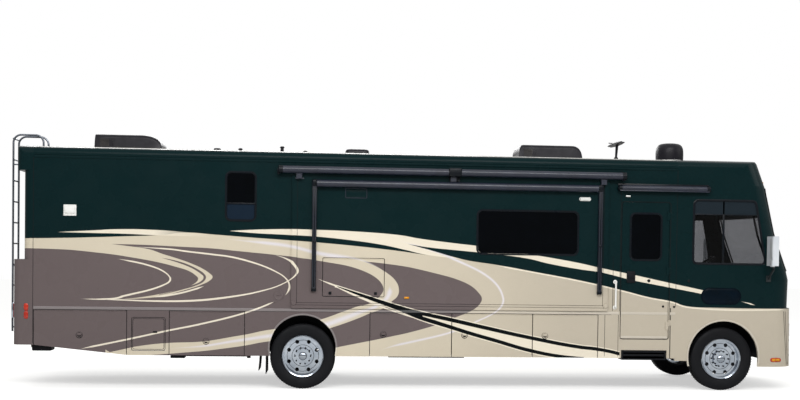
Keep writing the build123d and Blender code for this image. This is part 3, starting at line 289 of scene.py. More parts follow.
# A ring edge is named with its space. It runs from the upper tail round the nose of the hook to the lower tail.
ring_edges = {
    "tail_outer:tail_hook": (
        "-5.45 2.1, -4.6 2.06, -4.08 2.007, -3.85 1.98, -3.5 1.878, -3.23 1.792, -3.06 1.722, -2.93 1.643, "
        "-2.88 1.59, -2.93 1.526, -3.05 1.467, -3.32 1.378, -3.67 1.293, -4.1 1.262, -4.5 1.262"
    ),
    "tail_split_outer:tail_hook": (
        "-3.6 1.846, -3.32 1.791, -3.14 1.721, -3 1.633, -2.97 1.58, -3 1.522, -3.14 1.45, -3.49 1.35, -3.75 1.288"
    ),
    "tail_split_inner:tail_hook": (
        "-3.6 1.848, -3.32 1.767, -3.14 1.691, -3.04 1.624, -3.005 1.579, -3.04 1.525, -3.14 1.474, -3.32 1.412, "
        "-3.75 1.302"
    ),
    "tail_inner:tail_hook": (
        "-5.45 1.953, -4.9 1.943, -4.2 1.877, -3.85 1.823, -3.5 1.752, -3.23 1.675, -3.12 1.61, -3.08 1.55, "
        "-3.14 1.483, -3.32 1.41, -3.67 1.324, -4.02 1.271, -4.5 1.25"
    ),
    "small_line:tail_hook": (
        "-4.23 1.828, -3.85 1.76, -3.58 1.667, -3.49 1.6, -3.465 1.555, -3.49 1.503, -3.58 1.455, -3.85 1.366, "
        "-4.11 1.303, -4.34 1.259, -4.75 1.262"
    ),
    "outer_line:wide_hook": (
        "-2.06 1.92, -1.84 1.853, -1.74 1.775, -1.69 1.687, -1.74 1.603, -1.83 1.537, -1.98 1.463, -2.34 1.36, "
        "-2.7 1.297, -3.05 1.255, -3.4 1.238, -3.84 1.24, -4.37 1.254, -4.75 1.262"
    ),
    "inner_line:wide_hook": (
        "-4.06 2.007, -3.5 1.971, -2.85 1.9, -2.7 1.884, -2.34 1.804, -2.08 1.712, -1.88 1.602, -1.8 1.468, "
        "-1.82 1.395, -1.88 1.318"
    ),
    "arch_outer:arch_hook": (
        "-1.86 1.865, -1.72 1.88, -1.3 1.885, -0.91 1.868, -0.72 1.82, -0.45 1.693, -0.3 1.568, -0.25 1.459, "
        "-0.27 1.34, -0.35 1.266, -0.46 1.173, -0.71 1.071, -1.22 0.878, -2.05 0.687, -2.42 0.62, -3.04 0.535, "
        "-3.49 0.496, -4.29 0.44"
    ),
    "arch_inner:arch_hook": (
        "-1.86 1.9, -1.72 1.885, -1.34 1.827, -0.9 1.747, -0.58 1.606, -0.48 1.492, -0.47 1.42, -0.5 1.365, "
        "-0.64 1.244, -0.9 1.169, -1.35 1.001, -1.99 0.859, -2.42 0.774, -3.04 0.67, -3.49 0.649, -4.01 0.582, "
        "-4.29 0.514"
    ),
    "taupe_edge:taupe_hook": (
        "-7 1.32, -6.5 2.06, -5.4 2.045, -4.48 2.031, -3.85 2.025, -3.32 2.006, -2.85 1.986, -2.52 1.955, "
        "-2.06 1.916, -1.81 1.893, -1.45 1.856, -0.52 1.815, -0.16 1.77, 0.21 1.693, 0.58 1.597, 0.77 1.516, "
        "0.9 1.408, 0.95 1.326, 0.92 1.243, 0.81 1.149, 0.55 1.037, 0.26 0.924, -0.14 0.811, -0.51 0.729, -1.14 0.6, "
        "-1.6 0.48, -2.6 0.25, -6.5 0.1, -7 1.25"
    ),
    "pearl_line:taupe_hook": (
        "-0.45 2.19, -0.29 2.146, 0.02 2.065, 0.39 1.952, 0.67 1.827, 0.95 1.693, 1.14 1.549, 1.24 1.393, "
        "1.26 1.283, 1.18 1.153, 1.05 1.069, 0.85 0.975, 0.46 0.816, 0.04 0.711, -0.51 0.57, -0.7 0.52"
    ),
    "pearl_in_tan:taupe_hook": (
        "-3.2 2.18, -2.53 2.108, -1.81 2.037, -1.36 1.935, -0.91 1.86, -0.54 1.683, -0.41 1.539, -0.39 1.44"
    ),
    "pearl_in_arch:arch_hook": (
        "-0.41 1.539, -0.38 1.4, -0.44 1.29, -0.58 1.19, -0.85 1.09, -1.35 0.905, -1.99 0.77, -2.42 0.705, "
        "-3.04 0.605, -3.49 0.57, -4.1 0.5"
    ),
}
plain_lines = {
    "tail_under_line": "-3.76 1.285, -3.43 1.331, -3.14 1.405, -2.98 1.462",
    "low_line": "-4.72 0.552, -4.02 0.702, -3.49 0.823, -3.05 0.917, -2.43 1.081, -2 1.252",
    "black_tail_line": "-1.43 1.59, -1.14 1.481, -0.72 1.362",
    "black_under_line": "-1.14 1.46, -0.72 1.285, -0.46 1.178, -0.23 1.103, 0.26 0.955, 0.5 0.868",
    "nose_line": "4.77 1.33, 5.03 1.264",
    "green_under_line": "1.13 1.806, 1.69 1.712, 2.38 1.592, 3 1.46, 3.45 1.353, 3.73 1.307, 4.05 1.222, 5.49 1.211",
}


def places(text):
    return [tuple(float(n) for n in pair.split()) for pair in text.split(",")]


along_edges = {name: places(text) for name, text in along_edges.items()}
ring_edges = {name.split(":")[0]: (name.split(":")[1], places(text)) for name, text in ring_edges.items()}
plain_lines = {name: places(text) for name, text in plain_lines.items()}
print("edges along", len(along_edges), "edges round", len(ring_edges), "plain lines", len(plain_lines))

# %% Masks for the ribbons
edge_blur = 0.0012


def curve_through(tree, feed, points):
    """The height of a smooth curve through points, read at a position that is a node's output."""
    xs, ys = [p[0] for p in points], [p[1] for p in points]
    low, high = min(ys) - 0.01, max(ys) + 0.01
    share = ramp(tree, feed, min(xs), max(xs), 0.0, 1.0)
    curve = add(tree, "FloatCurve", {1: share})
    line = curve.mapping.curves[0]
    knots = sorted(((x - min(xs)) / (max(xs) - min(xs)), (y - low) / (high - low)) for x, y in points)
    for number, knot in enumerate(knots):
        if number < 2:
            line.points[number].location = knot
        else:
            line.points.new(*knot)
    curve.mapping.update()
    return maths(tree, "MULTIPLY_ADD", curve, high - low, low)


def beyond(tree, feed, edge, blur=edge_blur):
    """1 where the feed is more than the edge, with a soft step."""
    gap = maths(tree, "SUBTRACT", feed, edge)
    return ramp(tree, gap, -blur, blur, 0.0, 1.0)


def outside(tree, mask):
    """The rest of a mask."""
    return maths(tree, "SUBTRACT", 1.0, mask)


def overlap(tree, *masks):
    """The product of masks."""
    product = masks[0]
    for mask in masks[1:]:
        product = maths(tree, "MULTIPLY", product, mask)
    return product


def ribbon_masks(tree, x, z):
    """The masks of every ribbon, by name, at x along the coach and z up."""
    masks = {}
    spaces = {}
    point = add(tree, "CombineXYZ", [x, z, 0.0])
    for name, (centre, size) in ring_spaces.items():
        offset = vectors(tree, "SUBTRACT", point, (*centre, 0))
        scaled = vectors(tree, "DIVIDE", offset, (*size, 1))
        slope = vectors(tree, "DIVIDE", scaled, (*size, 1))
        along, up, _ = add(tree, "SeparateXYZ", [scaled]).outputs
        reach = vectors(tree, "LENGTH", scaled).outputs["Value"]
        steep = vectors(tree, "LENGTH", slope).outputs["Value"]
        spaces[name] = (maths(tree, "ARCTAN2", up, along), reach, maths(tree, "DIVIDE", reach, steep))

    def ring(name):
        space, points = ring_edges[name]
        (cx, cz), (sx, sz) = ring_spaces[space]
        scaled = [((a - cx) / sx, (b - cz) / sz) for a, b in points]
        polar = [(math.atan2(b, a), math.hypot(a, b)) for a, b in scaled]
        return space, curve_through(tree, spaces[space][0], polar), [p[0] for p in polar]

    def inside(name):
        space, edge, _ = ring(name)
        return beyond(tree, edge, spaces[space][1], 0.002)

    def stripe(position, start, end, gap, width, blur):
        """A line of a width that tapers over the start and the end ranges of a position."""
        start = ramp(tree, position, *start, -2 * blur, width / 2)
        end = ramp(tree, position, *end, -2 * blur, width / 2)
        return beyond(tree, maths(tree, "MINIMUM", start, end), maths(tree, "ABSOLUTE", gap), blur)

    def ring_line(name, width, blur=edge_blur):
        space, edge, angles = ring(name)
        angle, reach, metres = spaces[space]
        gap = maths(tree, "MULTIPLY", maths(tree, "SUBTRACT", reach, edge), metres)
        first, last = max(angles), min(angles)
        return stripe(angle, (first, first - 0.25), (last, last + 0.25), gap, width, blur)

    def plain_line(name, width):
        points = plain_lines[name]
        gap = maths(tree, "SUBTRACT", z, curve_through(tree, x, points))
        first, last = points[0][0], points[-1][0]
        return stripe(x, (first, first + 0.2), (last, last - 0.1), gap, width, edge_blur)

    def between(top, low):
        first = max(along_edges[top][0][0], along_edges[low][0][0])
        above = beyond(tree, z, curve_through(tree, x, along_edges[low]))
        below = beyond(tree, curve_through(tree, x, along_edges[top]), z)
        return overlap(tree, above, below, beyond(tree, x, first))

    masks["tan"] = beyond(tree, curve_through(tree, x, along_edges["tan_top"]), z)
    masks["taupe"] = inside("taupe_edge")
    tail = overlap(tree, inside("tail_outer"), outside(tree, inside("tail_inner")))
    split = overlap(tree, inside("tail_split_outer"), outside(tree, inside("tail_split_inner")))
    nose_side = beyond(tree, x, -3.62)
    masks["tail"] = maths(tree, "SUBTRACT", tail, overlap(tree, split, nose_side), use_clamp=True)
    masks["small_line"] = ring_line("small_line", 0.020)
    masks["outer_line"] = ring_line("outer_line", 0.026)
    masks["inner_line"] = ring_line("inner_line", 0.022)
    arch = overlap(tree, inside("arch_outer"), outside(tree, inside("arch_inner")))
    masks["arch"] = overlap(tree, arch, beyond(tree, x, -4.35))
    masks["pearl_line"] = ring_line("pearl_line", 0.026, 0.008)
    masks["pearl_in_tan"] = ring_line("pearl_in_tan", 0.052, 0.018)
    masks["pearl_in_arch"] = ring_line("pearl_in_arch", 0.060, 0.020)
    for name in plain_lines:
        masks[name] = plain_line(name, 0.024)
    # The two black ribbons share a wedge at their tail, and a cream ground shows as a line round them.
    for name, grow, first, last in (("black_ground", 0.014, -1.16, 2.99), ("black_wedge", 0.0, -1.12, 0.10)):
        top = [(a, b + grow) for a, b in along_edges["upper_black_top"]]
        low = [(a, b - grow) for a, b in along_edges["lower_black_low"]]
        masks[name] = overlap(
            tree,
            beyond(tree, curve_through(tree, x, top), z),
            beyond(tree, z, curve_through(tree, x, low)),
            beyond(tree, x, first),
            beyond(tree, last, x),
        )
    masks["upper_black"] = overlap(tree, between("upper_black_top", "upper_black_low"), beyond(tree, 2.99, x))
    for name, last in (("lower_black", 2.46), ("main_cream", 4.62), ("green_band", 6.0)):
        masks[name] = overlap(tree, between(name + "_top", name + "_low"), beyond(tree, last, x))
    first_cream = between("first_cream_top", "first_cream_low")
    masks["first_cream"] = overlap(tree, first_cream, beyond(tree, -3.3, x, 0.4))
    return masks


# %% [markdown]
# The colours go on in the order that a sprayer masks them: grounds first, then ribbons, then the thin lines.
# Base coat colours are sprayed with a fine metallic flake, and a clear coat on top gives the deep gloss. The
# flake is 0.3 mm in life and drawn at 1.5 mm so that it shows. Clear coat never dries quite flat, so a faint
# orange peel of 4 mm ripples breaks up the reflections.

# %% Coach paint
chips = {
    "deep_green": "#071E20",
    "tan": "#C9BFAB",
    "beige": "#B4AB9B",
    "taupe": "#635959",
    "cream": "#DED5C3",
    "pearl": "#D4CFD2",
    "black": "#04090B",
}
spray_order = (
    "tan:tan taupe:taupe tail:tan pearl_in_tan:pearl outer_line:cream inner_line:cream small_line:cream "
    "tail_under_line:cream low_line:cream arch:tan pearl_in_arch:pearl green_under_line:cream main_cream:cream "
    "pearl_line:pearl green_band:deep_green first_cream:cream black_tail_line:cream black_under_line:cream "
    "black_ground:cream black_wedge:black upper_black:black lower_black:black nose_line:cream"
)
sprayed = [pair.split(":") for pair in spray_order.split()]
on_tan_only = {"taupe", "tail", "outer_line", "arch", "inner_line", "small_line"}
# Nearer to the middle plane than this, a wall or a door shows its liner.
liner_depth = 1.252


def coach_paint(name, belt=False, lined=False):
    """The paint scheme as a material. A belt strip gets the paint lightened as a painted highlight; a lined wall has
    a plain inner face.
    """
    material, tree, coords = new_finish(name)
    x, y, z = add(tree, "SeparateXYZ", [coords]).outputs
    masks = ribbon_masks(tree, x, z)
    wander = noise(tree, coords, 0.7, 2.0)
    # The ground turns from tan to beige over the middle of the coach.
    nose = ramp(tree, x, -0.6, 2.2, 0.0, 1.0)
    ground = blend(tree, nose, colour(chips["tan"]), colour(chips["beige"]))
    shade = colour(chips["deep_green"])
    for layer, tint in sprayed:
        mask = masks[layer]
        if layer in on_tan_only:
            mask = overlap(tree, mask, masks["tan"])
        shade = blend(tree, mask, shade, ground if layer == "tan" else colour(chips[tint]))
    # A belt strip gets a tenth of white mixed in: a painted highlight along its rounded face.
    if belt:
        shade = blend(tree, 0.10, shade, [1, 1, 1, 1])
    cloud = ramp(tree, wander, 0.3, 0.7, 0.975, 1.02)
    flake = add(tree, "TexVoronoi", {"Vector": coords, "Scale": 650.0})
    glint = ramp(tree, flake.outputs["Color"], 0.0, 1.0, 0.96, 1.06)
    shade = add(tree, "VectorMath", {0: shade, "Scale": overlap(tree, cloud, glint)}, operation="SCALE")
    if lined:
        inside = maths(tree, "LESS_THAN", maths(tree, "ABSOLUTE", y), liner_depth)
        shade = blend(tree, inside, shade, colour("#A99F8E"))
    peel = noise(tree, coords, 250.0, 1.0)
    bump = relief(tree, peel, 0.04, 0.0004)
    dust = noise(tree, coords, 3.0, 6.0)
    rough = ramp(tree, dust, 0.3, 0.7, 0.22, 0.34)
    gloss = {"Specular IOR Level": 0.07, "Coat Weight": 0.06, "Coat Roughness": 0.05}
    top_coat(tree, shade, rough, bump, **gloss)
    return material


paint = coach_paint("sprayed_metallic_coach_paint")
trim_paint_with_painted_highlight = coach_paint("sprayed_belt_strip_paint", belt=True)
wall_paint = coach_paint("painted_skin_over_beige_liner", lined=True)
print("paint nodes", len(paint.node_tree.nodes))

# %% [markdown]
# The roof is one moulded glass fibre skin. Its turned-down edges are sprayed with the body's green, and the
# walk-on top stays as white gel coat, chalky from weather. The line between them is where the edge turns over.

# %% Roof skin
roof_skin, tree, coords = new_finish("gel_coated_roof_with_green_edges")
beside = maths(tree, "ABSOLUTE", add(tree, "SeparateXYZ", [coords]).outputs["Y"])
roof_edge, paint_step = 1.120, 0.004
edge_part = ramp(tree, beside, roof_edge, roof_edge + paint_step, 0.0, 1.0)
chalk = noise(tree, coords, 2.2, 8.0)
gel = blend(tree, chalk, colour("#C9C8C2"), colour("#E6E5DF"))
skin = blend(tree, edge_part, gel, colour(chips["deep_green"]))
peel = noise(tree, coords, 120.0, 3.0)
bump = relief(tree, peel, 0.10, 0.0006)
rough = ramp(tree, edge_part, 0.0, 1.0, 0.55, 0.28)
top_coat(tree, skin, rough, bump, **{"Specular IOR Level": 0.06})
print("roof skin nodes", len(tree.nodes))

# %% [markdown]
# Most of the other finishes have the same build: a base colour that wanders a little, a roughness that
# wanders with it, and a fine relief. What differs is the scale, which comes from how each surface was made:
# sand for cast iron, sparks for textured ABS, a brush for steel, a die for rubber. One function takes those.

# %% Shop finishes


def shop_finish(
    name, light, dark, rough, grain_mm, relief_mm, metal=0.0, stretch=(1, 1, 1), bare=None, **sockets
):
    """A finish whose colour wanders between two hex codes, with a relief grain_mm across and relief_mm deep.

    bare is (axis, distance, hex code): nearer the origin than that distance the part takes that plain dark colour.
    """
    material, tree, coords = new_finish(name)
    drawn = add(tree, "Mapping", {"Vector": coords, "Scale": stretch})
    patch = noise(tree, coords, 6.0, 6.0, Roughness=0.6)
    share = ramp(tree, patch, 0.3, 0.7, 0.0, 1.0)
    tint = blend(tree, share, colour(light), colour(dark))
    grain = noise(tree, drawn, 500 / grain_mm, 3.0)
    bump = relief(tree, grain, 0.5, relief_mm / 1000)
    dull = ramp(tree, share, 0.0, 1.0, rough[0], rough[1])
    if bare:
        axis, distance, under = bare
        along = maths(tree, "ABSOLUTE", add(tree, "SeparateXYZ", [coords]).outputs[axis])
        part = maths(tree, "LESS_THAN", along, distance)
        tint = blend(tree, part, tint, colour(under))
        dull = maths(tree, "MULTIPLY_ADD", part, 0.45, dull)
        metal = maths(tree, "MULTIPLY_ADD", part, -metal, metal)
    top_coat(tree, tint, dull, bump, Metallic=metal, **sockets)
    return material


# Dark plastics and rubber lose most of their mirror gloss as they weather, so their specular level is low.
dull = {"Specular IOR Level": 0.18}
# Black chassis enamel over hot rolled steel: dusty satin with a faint mill ripple.
chassis_enamel = shop_finish("black_chassis_enamel", "#0C0E14", "#07080C", (0.42, 0.62), 6, 0.20, **dull)
# Sand-cast grey iron: a matt, gritty, slightly brown grey.
cast_iron = shop_finish("sand_cast_grey_iron", "#57575A", "#413F3D", (0.6, 0.8), 2, 0.30, metal=0.6)
# Plywood floor with a sealed underside: warm grey brown with long grain.
floor_ply = shop_finish("sealed_floor_plywood", "#8A7A66", "#6E604F", (0.5, 0.65), 12, 0.25, stretch=(0.08, 1, 1))
# Textured black ABS: an even spark-eroded grain that kills the shine.
black_abs = shop_finish("textured_black_abs", "#0A0D13", "#07090D", (0.42, 0.55), 1.6, 0.08, **dull)
# Grey dashboard vinyl over foam: a soft leather-like grain.
dash_vinyl = shop_finish("grained_grey_dash_vinyl", "#4A4744", "#3B3936", (0.5, 0.62), 2.5, 0.15)
# Vacuum formed grey liner sheet in the luggage bays: dull with scuffs.
bay_liner = shop_finish("scuffed_grey_bay_liner", "#5A5856", "#3E3D3C", (0.55, 0.7), 4, 0.10)
# Anodised awning tube with its dark vinyl wound on: satin charcoal with a purple cast.
awning_vinyl = shop_finish(
    "charcoal_awning_vinyl", "#202534", "#171B28", (0.30, 0.42), 1.2, 0.05, stretch=(0.2, 1, 1)
)
# Blow moulded shroud of the roof units: charcoal polyethylene, sun dulled.
shroud_plastic = shop_finish("sun_dulled_charcoal_shroud", "#201F24", "#15141A", (0.30, 0.45), 3, 0.10, **dull)
# Drawn ladder tube in bare aluminium: bright satin with lengthwise die lines.
drawn_aluminium = shop_finish(
    "drawn_aluminium_tube", "#7E838B", "#5E636B", (0.28, 0.42), 1.5, 0.04, metal=1.0, stretch=(1, 1, 0.05)
)
# Rolled steel exhaust: heat-straw and brown over brushed steel.
exhaust_metal = shop_finish("heat_stained_exhaust_steel", "#7A7168", "#4E463F", (0.4, 0.6), 3, 0.08, metal=0.9)
# Mirror heads are polished silver shells, about a third metallic: most of their near-white colour is diffuse, a
# painted reflection that keeps them bright. Below 1.835 m their arms are painted dark.
arm_below = ("Z", 1.835, "#071216")
silver_shell_with_painted_reflection = shop_finish(
    "polished_silver_mirror_shell", "#F1F4F8", "#DDE3EA", (0.12, 0.2), 20, 0.02, metal=0.35, bare=arm_below
)
# Polished chrome plate on rails and trims: bright with only a breath of haze. Wheels have it on the outside only, and
# the barrel behind the disc is near black: its dark paint with painted shade inside the wheel.
chrome = ("#BFC6CF", "#9FA8B4", (0.05, 0.12), 30, 0.02, 1.0)
chrome_plate = shop_finish("polished_chrome_plate", *chrome)
wheel_chrome = shop_finish("chromed_wheel_disc", *chrome, bare=("Y", 1.03, "#0A0B0E"))
# The oval bubble panels on the nose: deep blue-black gloss plastic.
faint = {"Specular IOR Level": 0.08}
bubble_panel = shop_finish("blue_black_bubble_panel", "#04111C", "#030C14", (0.2, 0.3), 20, 0.02, **faint)
# Silvered mirror glass, only half metallic: the rest is diffuse pale white, a painted reflection of bright sky, so
# that it reads pale from every side.
mirror_glass_with_painted_reflection = shop_finish("silvered_mirror_glass", "#F4F7FA", "#E4EAEE", (0.05, 0.10), 40, 0.01, metal=0.5)
# Galvanised and silver-painted small parts: latches, hinges and screw heads.
plated_steel = shop_finish("zinc_plated_steel", "#B7B6B2", "#96958F", (0.25, 0.4), 1.5, 0.05, metal=0.9)
# Moulded EPDM seal rubber: deep matt black.
seal_rubber = shop_finish("moulded_epdm_seal_rubber", "#07080A", "#040506", (0.55, 0.7), 1.2, 0.05, **dull)
# Black anodised window frame: satin with fine extrusion lines.
frame_metal = shop_finish("black_anodised_window_frame", "#0A1018", "#070B10", (0.25, 0.36), 1.0, 0.03, **dull)
# White ABS housings of lamps, vents and handles.
white_abs = shop_finish("moulded_white_abs", "#E9E9E6", "#DEDEDA", (0.3, 0.42), 1.5, 0.04)
# Amber and red acrylic lenses: clear coloured plastic over a fluted back.
amber_lens = shop_finish("fluted_amber_acrylic", "#D8930E", "#B9740A", (0.08, 0.14), 4, 0.4, stretch=(1, 1, 4))
red_lens = shop_finish("fluted_red_acrylic", "#BB3420", "#8E2014", (0.08, 0.14), 4, 0.4, stretch=(1, 1, 4))
print("shop finishes made")

# %% [markdown]
# Tyre rubber is dull carbon black with a brown bloom, and its side wall has fine moulded rings that run
# round the hub, so they are drawn by the distance from the axle line. Front and rear axles each have their
# own material because the rings need the hub's place.

# %% Tyre rubber
hub_z = 0.465
front_x, rear_x = 4.542, -1.605


def tyre_rubber(name, hub_x):
    material, tree, coords = new_finish(name)
    centred = add(tree, "Mapping", {"Vector": coords, "Location": (-hub_x, 0, -hub_z), "Scale": (1, 0, 1)})
    reach = vectors(tree, "LENGTH", centred).outputs["Value"]
    rings = maths(tree, "SINE", maths(tree, "MULTIPLY", reach, 1050.0))
    dusty = noise(tree, coords, 9.0, 7.0)
    bloom = blend(tree, dusty, colour("#08090C"), colour("#121317"))
    pits = noise(tree, coords, 320.0, 2.0)
    moulded = maths(tree, "MULTIPLY_ADD", rings, 0.35, pits)
    bump = relief(tree, moulded, 0.5, 0.0005)
    rough = ramp(tree, dusty, 0.3, 0.7, 0.52, 0.74)
    top_coat(tree, bloom, rough, bump, **dull)
    return material


front_rubber = tyre_rubber("front_tyre_rubber", front_x)
rear_rubber = tyre_rubber("rear_tyre_rubber", rear_x)
print("tyre rubber for two axles")

# %% [markdown]
# The coach has two kinds of glass. The room windows are privacy glass, drawn as an opaque near-black sheet: their
# dark tint plus painted shade of the unlit rooms behind. The cab windows and windshield let light through but have a
# grey tint, and a darker shade band across the top.
# Glass is thin here, so the light goes straight through: Transparent mixed with a glossy coat by Fresnel.
# The gloss counts only where light enters, because thin glass does not trap light at its second face.

# %% Glass
shade_band, bedroom_pane = (2.585, 2.60), ((-2.30, -2.29), (2.62, 2.63))


def window_glass(name, clear_from):
    """Thin glass. Ahead of clear_from it is see-through grey, behind it an opaque near-black sheet: dark tint plus
    painted shade of the rooms behind.
    """
    material, tree, coords = new_finish(name)
    x, _, z = add(tree, "SeparateXYZ", [coords]).outputs
    cab = ramp(tree, x, clear_from, clear_from + 0.01, 0.0, 1.0)
    band = ramp(tree, z, *shade_band, 1.0, 0.0)
    open_share = maths(tree, "MULTIPLY", cab, band)
    haze = noise(tree, coords, 5.0, 5.0)
    tint = blend(tree, haze, colour("#C5C6C8"), colour("#CFCFD0"))
    through = add(tree, "BsdfTransparent", [tint])
    wave = noise(tree, coords, 1.6, 2.0)
    bump = relief(tree, wave, 0.2, 0.004)
    # Behind clear_from the glass is opaque: its near-black colour is the dark tint plus painted shade of the rooms
    # behind.
    dark_tint_and_painted_shade = blend(tree, haze, colour("#020304"), colour("#04060A"))
    shaded = blend(tree, cab, dark_tint_and_painted_shade, colour("#1E262C"))
    # The lower pane of the bedroom window slides, and its second sheet looks blue.
    nose_end, head = bedroom_pane
    low_pane = overlap(tree, ramp(tree, x, *nose_end, 1.0, 0.0), ramp(tree, z, *head, 1.0, 0.0))
    shaded = blend(tree, low_pane, shaded, colour("#16222F"))
    black = add(tree, "BsdfPrincipled", {"Base Color": shaded, "Roughness": 0.12, "Normal": bump} | faint)
    shine = add(tree, "BsdfGlossy", {"Roughness": 0.04, "Normal": bump})
    edge = add(tree, "Fresnel", {"IOR": 1.35, "Normal": bump})
    entering = maths(tree, "SUBTRACT", 1.0, add(tree, "NewGeometry").outputs["Backfacing"])
    edge = maths(tree, "MULTIPLY", edge, entering)
    clear = add(tree, "MixShader", [edge, through, shine])
    body = add(tree, "MixShader", [open_share, black, clear])
    add(tree, "OutputMaterial", [body])
    return material


side_glass = window_glass("tinted_side_glass", 3.9)
front_glass = window_glass("laminated_windshield_glass", -9.0)
# Moulded polycarbonate of the headlamps: clear, over a bright fluted reflector.
lamp_lens = shop_finish(
    "fluted_headlamp_polycarbonate", "#DDE3E8", "#B9C2CA", (0.05, 0.1), 18, 1.2, metal=0.85, stretch=(1, 1, 0.1)
)
print("glass made")

# %% [markdown]
# The cab seats are woven cloth. Warp and weft are two crossed waves. Real threads are 0.8 mm apart, and they
# are drawn at 6 mm so that the weave shows. A little sheen gives the soft edge of brushed fibre.

# %% Seat cloth
seat_cloth, tree, coords = new_finish("woven_beige_seat_cloth")
warp = add(tree, "TexWave", {"Vector": coords, "Scale": 52.0, "Distortion": 0.6}, bands_direction="Y")
weft = add(tree, "TexWave", {"Vector": coords, "Scale": 52.0, "Distortion": 0.6}, bands_direction="DIAGONAL")
weave = maths(tree, "MAXIMUM", warp, weft)
patch = noise(tree, coords, 14.0, 4.0)
tint = blend(tree, patch, colour("#75695B"), colour("#8C7F6F"))
tint = blend(tree, weave, colour("#5C5247"), tint)
bump = relief(tree, weave, 0.6, 0.0006)
top_coat(tree, tint, 0.85, bump, **{"Sheen Weight": 0.35, "Sheen Roughness": 0.4})
print("seat cloth nodes", len(tree.nodes))

# %% [markdown]
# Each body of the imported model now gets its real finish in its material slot. The shapes stay untouched.

# %% Finishes on the bodies
finish_of = {
    paint: "rear_cap front_cap front_fascia slide_room cabinet_door",
    wall_paint: "left_wall right_wall entry_door utility_hatch",
    roof_skin: "roof",
    chassis_enamel: "frame_rails crossmembers hitch_receiver front_axle rear_axle front_left_knuckle "
    "front_right_knuckle entry_steps",
    cast_iron: "engine",
    floor_ply: "floor",
    side_glass: "side_glass entry_door_glass slide_glass",
    front_glass: "windshield",
    lamp_lens: "headlamps",
    red_lens: "tail_lamps",
    black_abs: "wheel_liners steering_wheel",
    bay_liner: "storage_bays",
    dash_vinyl: "dashboard",
    seat_cloth: "cab_seats",
    awning_vinyl: "door_awning slide_awnings",
    shroud_plastic: "air_conditioners satellite_dome roof_fittings",
    drawn_aluminium: "roof_ladder ladder_rungs",
    silver_shell_with_painted_reflection: "mirrors",
    wheel_chrome: "front_left_wheel front_right_wheel rear_left_wheels rear_right_wheels",
    exhaust_metal: "exhaust_pipe",
    front_rubber: "front_left_tyre front_right_tyre",
    rear_rubber: "rear_left_tyres rear_right_tyres",
}
bay_doors = [name for name in nodes if "bay_door" in name]
finish_of[wall_paint] += " " + " ".join(bay_doors)
finished = set()
for material, names in finish_of.items():
    for name in names.split():
        finished.add(name)
        nodes[name].data.materials.clear()
        nodes[name].data.materials.append(material)
print("bodies without a finish:", sorted(set(nodes) - finished))

# %% [markdown]
# The fittings are made with a few shaping tools: a rounded block, a profile swept along a path, a round tube,
# a profile turned about an axis, a turned button, and a skin lofted through sections. Several shapes go into
# one mesh, which then becomes one piece.

# %% Shaping tools
right, left = -1, 1
wall_y = 1.275
slide_y = 1.300


def block(bm, low, high, edge=0.004, rows=2):
    """A block between two corners with rounded edges."""
    low, high = Vector(low), Vector(high)
    corners = [Vector((min(a, b), max(a, b))) for a, b in zip(low, high)]
    made = bmesh.ops.create_cube(bm, size=1)["verts"]
    for vert in made:
        vert.co = Vector([pair[0] if c < 0 else pair[1] for c, pair in zip(vert.co, corners)])
    edges = {e for v in made for e in v.link_edges}
    edge = min([edge] + [(pair[1] - pair[0]) * 0.45 for pair in corners])
    bmesh.ops.bevel(bm, geom=list(edges), offset=edge, segments=rows, profile=0.5, affect="EDGES")


def sweep(bm, path, profile, closed=False, out=None):
    """Sweeps a closed profile of (side, out) points along a path. With no out direction it turns freely."""
    path = [Vector(p) for p in path]
    count = len(path)
    rings = []
    carried = None
    for i, point in enumerate(path):
        before = path[i - 1] if closed or i else point
        after = path[(i + 1) % count] if closed or i < count - 1 else point
        one, two = (point - before), (after - point)
        one = one.normalized() if one.length > 1e-9 else two.normalized()
        two = two.normalized() if two.length > 1e-9 else one
        tangent = (one + two).normalized()
        if out is not None:
            normal = Vector(out)
        elif carried is None:
            normal = Vector((0, 0, 1)) if abs(tangent.z) < 0.9 else Vector((1, 0, 0))
        else:
            normal = carried
        normal = (normal - tangent * normal.dot(tangent)).normalized()
        carried = normal
        side = tangent.cross(normal)
        mitre = 1 / max(0.5, one.dot(tangent))
        rings.append([bm.verts.new(point + side * a * mitre + normal * b) for a, b in profile])
    pairs = list(zip(rings, rings[1:])) + ([(rings[-1], rings[0])] if closed else [])
    for one, two in pairs:
        for i in range(len(profile)):
            j = (i + 1) % len(profile)
            bm.faces.new((one[i], one[j], two[j], two[i]))
    if not closed:
        bm.faces.new(rings[0])
        bm.faces.new(rings[-1])


def circle(radius, steps=12):
    angles = [2 * math.pi * i / steps for i in range(steps)]
    return [(radius * math.cos(a), radius * math.sin(a)) for a in angles]


def tube(bm, path, radius, steps=12, closed=False):
    sweep(bm, path, circle(radius, steps), closed)


def turn(bm, centre, axis, profile, steps=48):
    """Turns a profile of (radius, along) points about an axis through a centre."""
    axis = Vector(axis).normalized()
    one = axis.orthogonal().normalized()
    two = axis.cross(one)
    centre = Vector(centre)
    rings = []
    for radius, along in profile:
        ring = circle(radius, steps) if radius > 1e-6 else [(0, 0)]
        rings.append([bm.verts.new(centre + axis * along + one * a + two * b) for a, b in ring])
    for low, high in zip(rings, rings[1:]):
        for i in range(steps):
            j = (i + 1) % steps
            corners = [low[i % len(low)], low[j % len(low)], high[j % len(high)], high[i % len(high)]]
            kept = [c for n, c in enumerate(corners) if c not in corners[:n]]
            if len(kept) > 2:
                bm.faces.new(kept)
    for end in (rings[0], rings[-1]):
        if len(end) > 2 and profile[0] != profile[-1]:
            bm.faces.new(end)


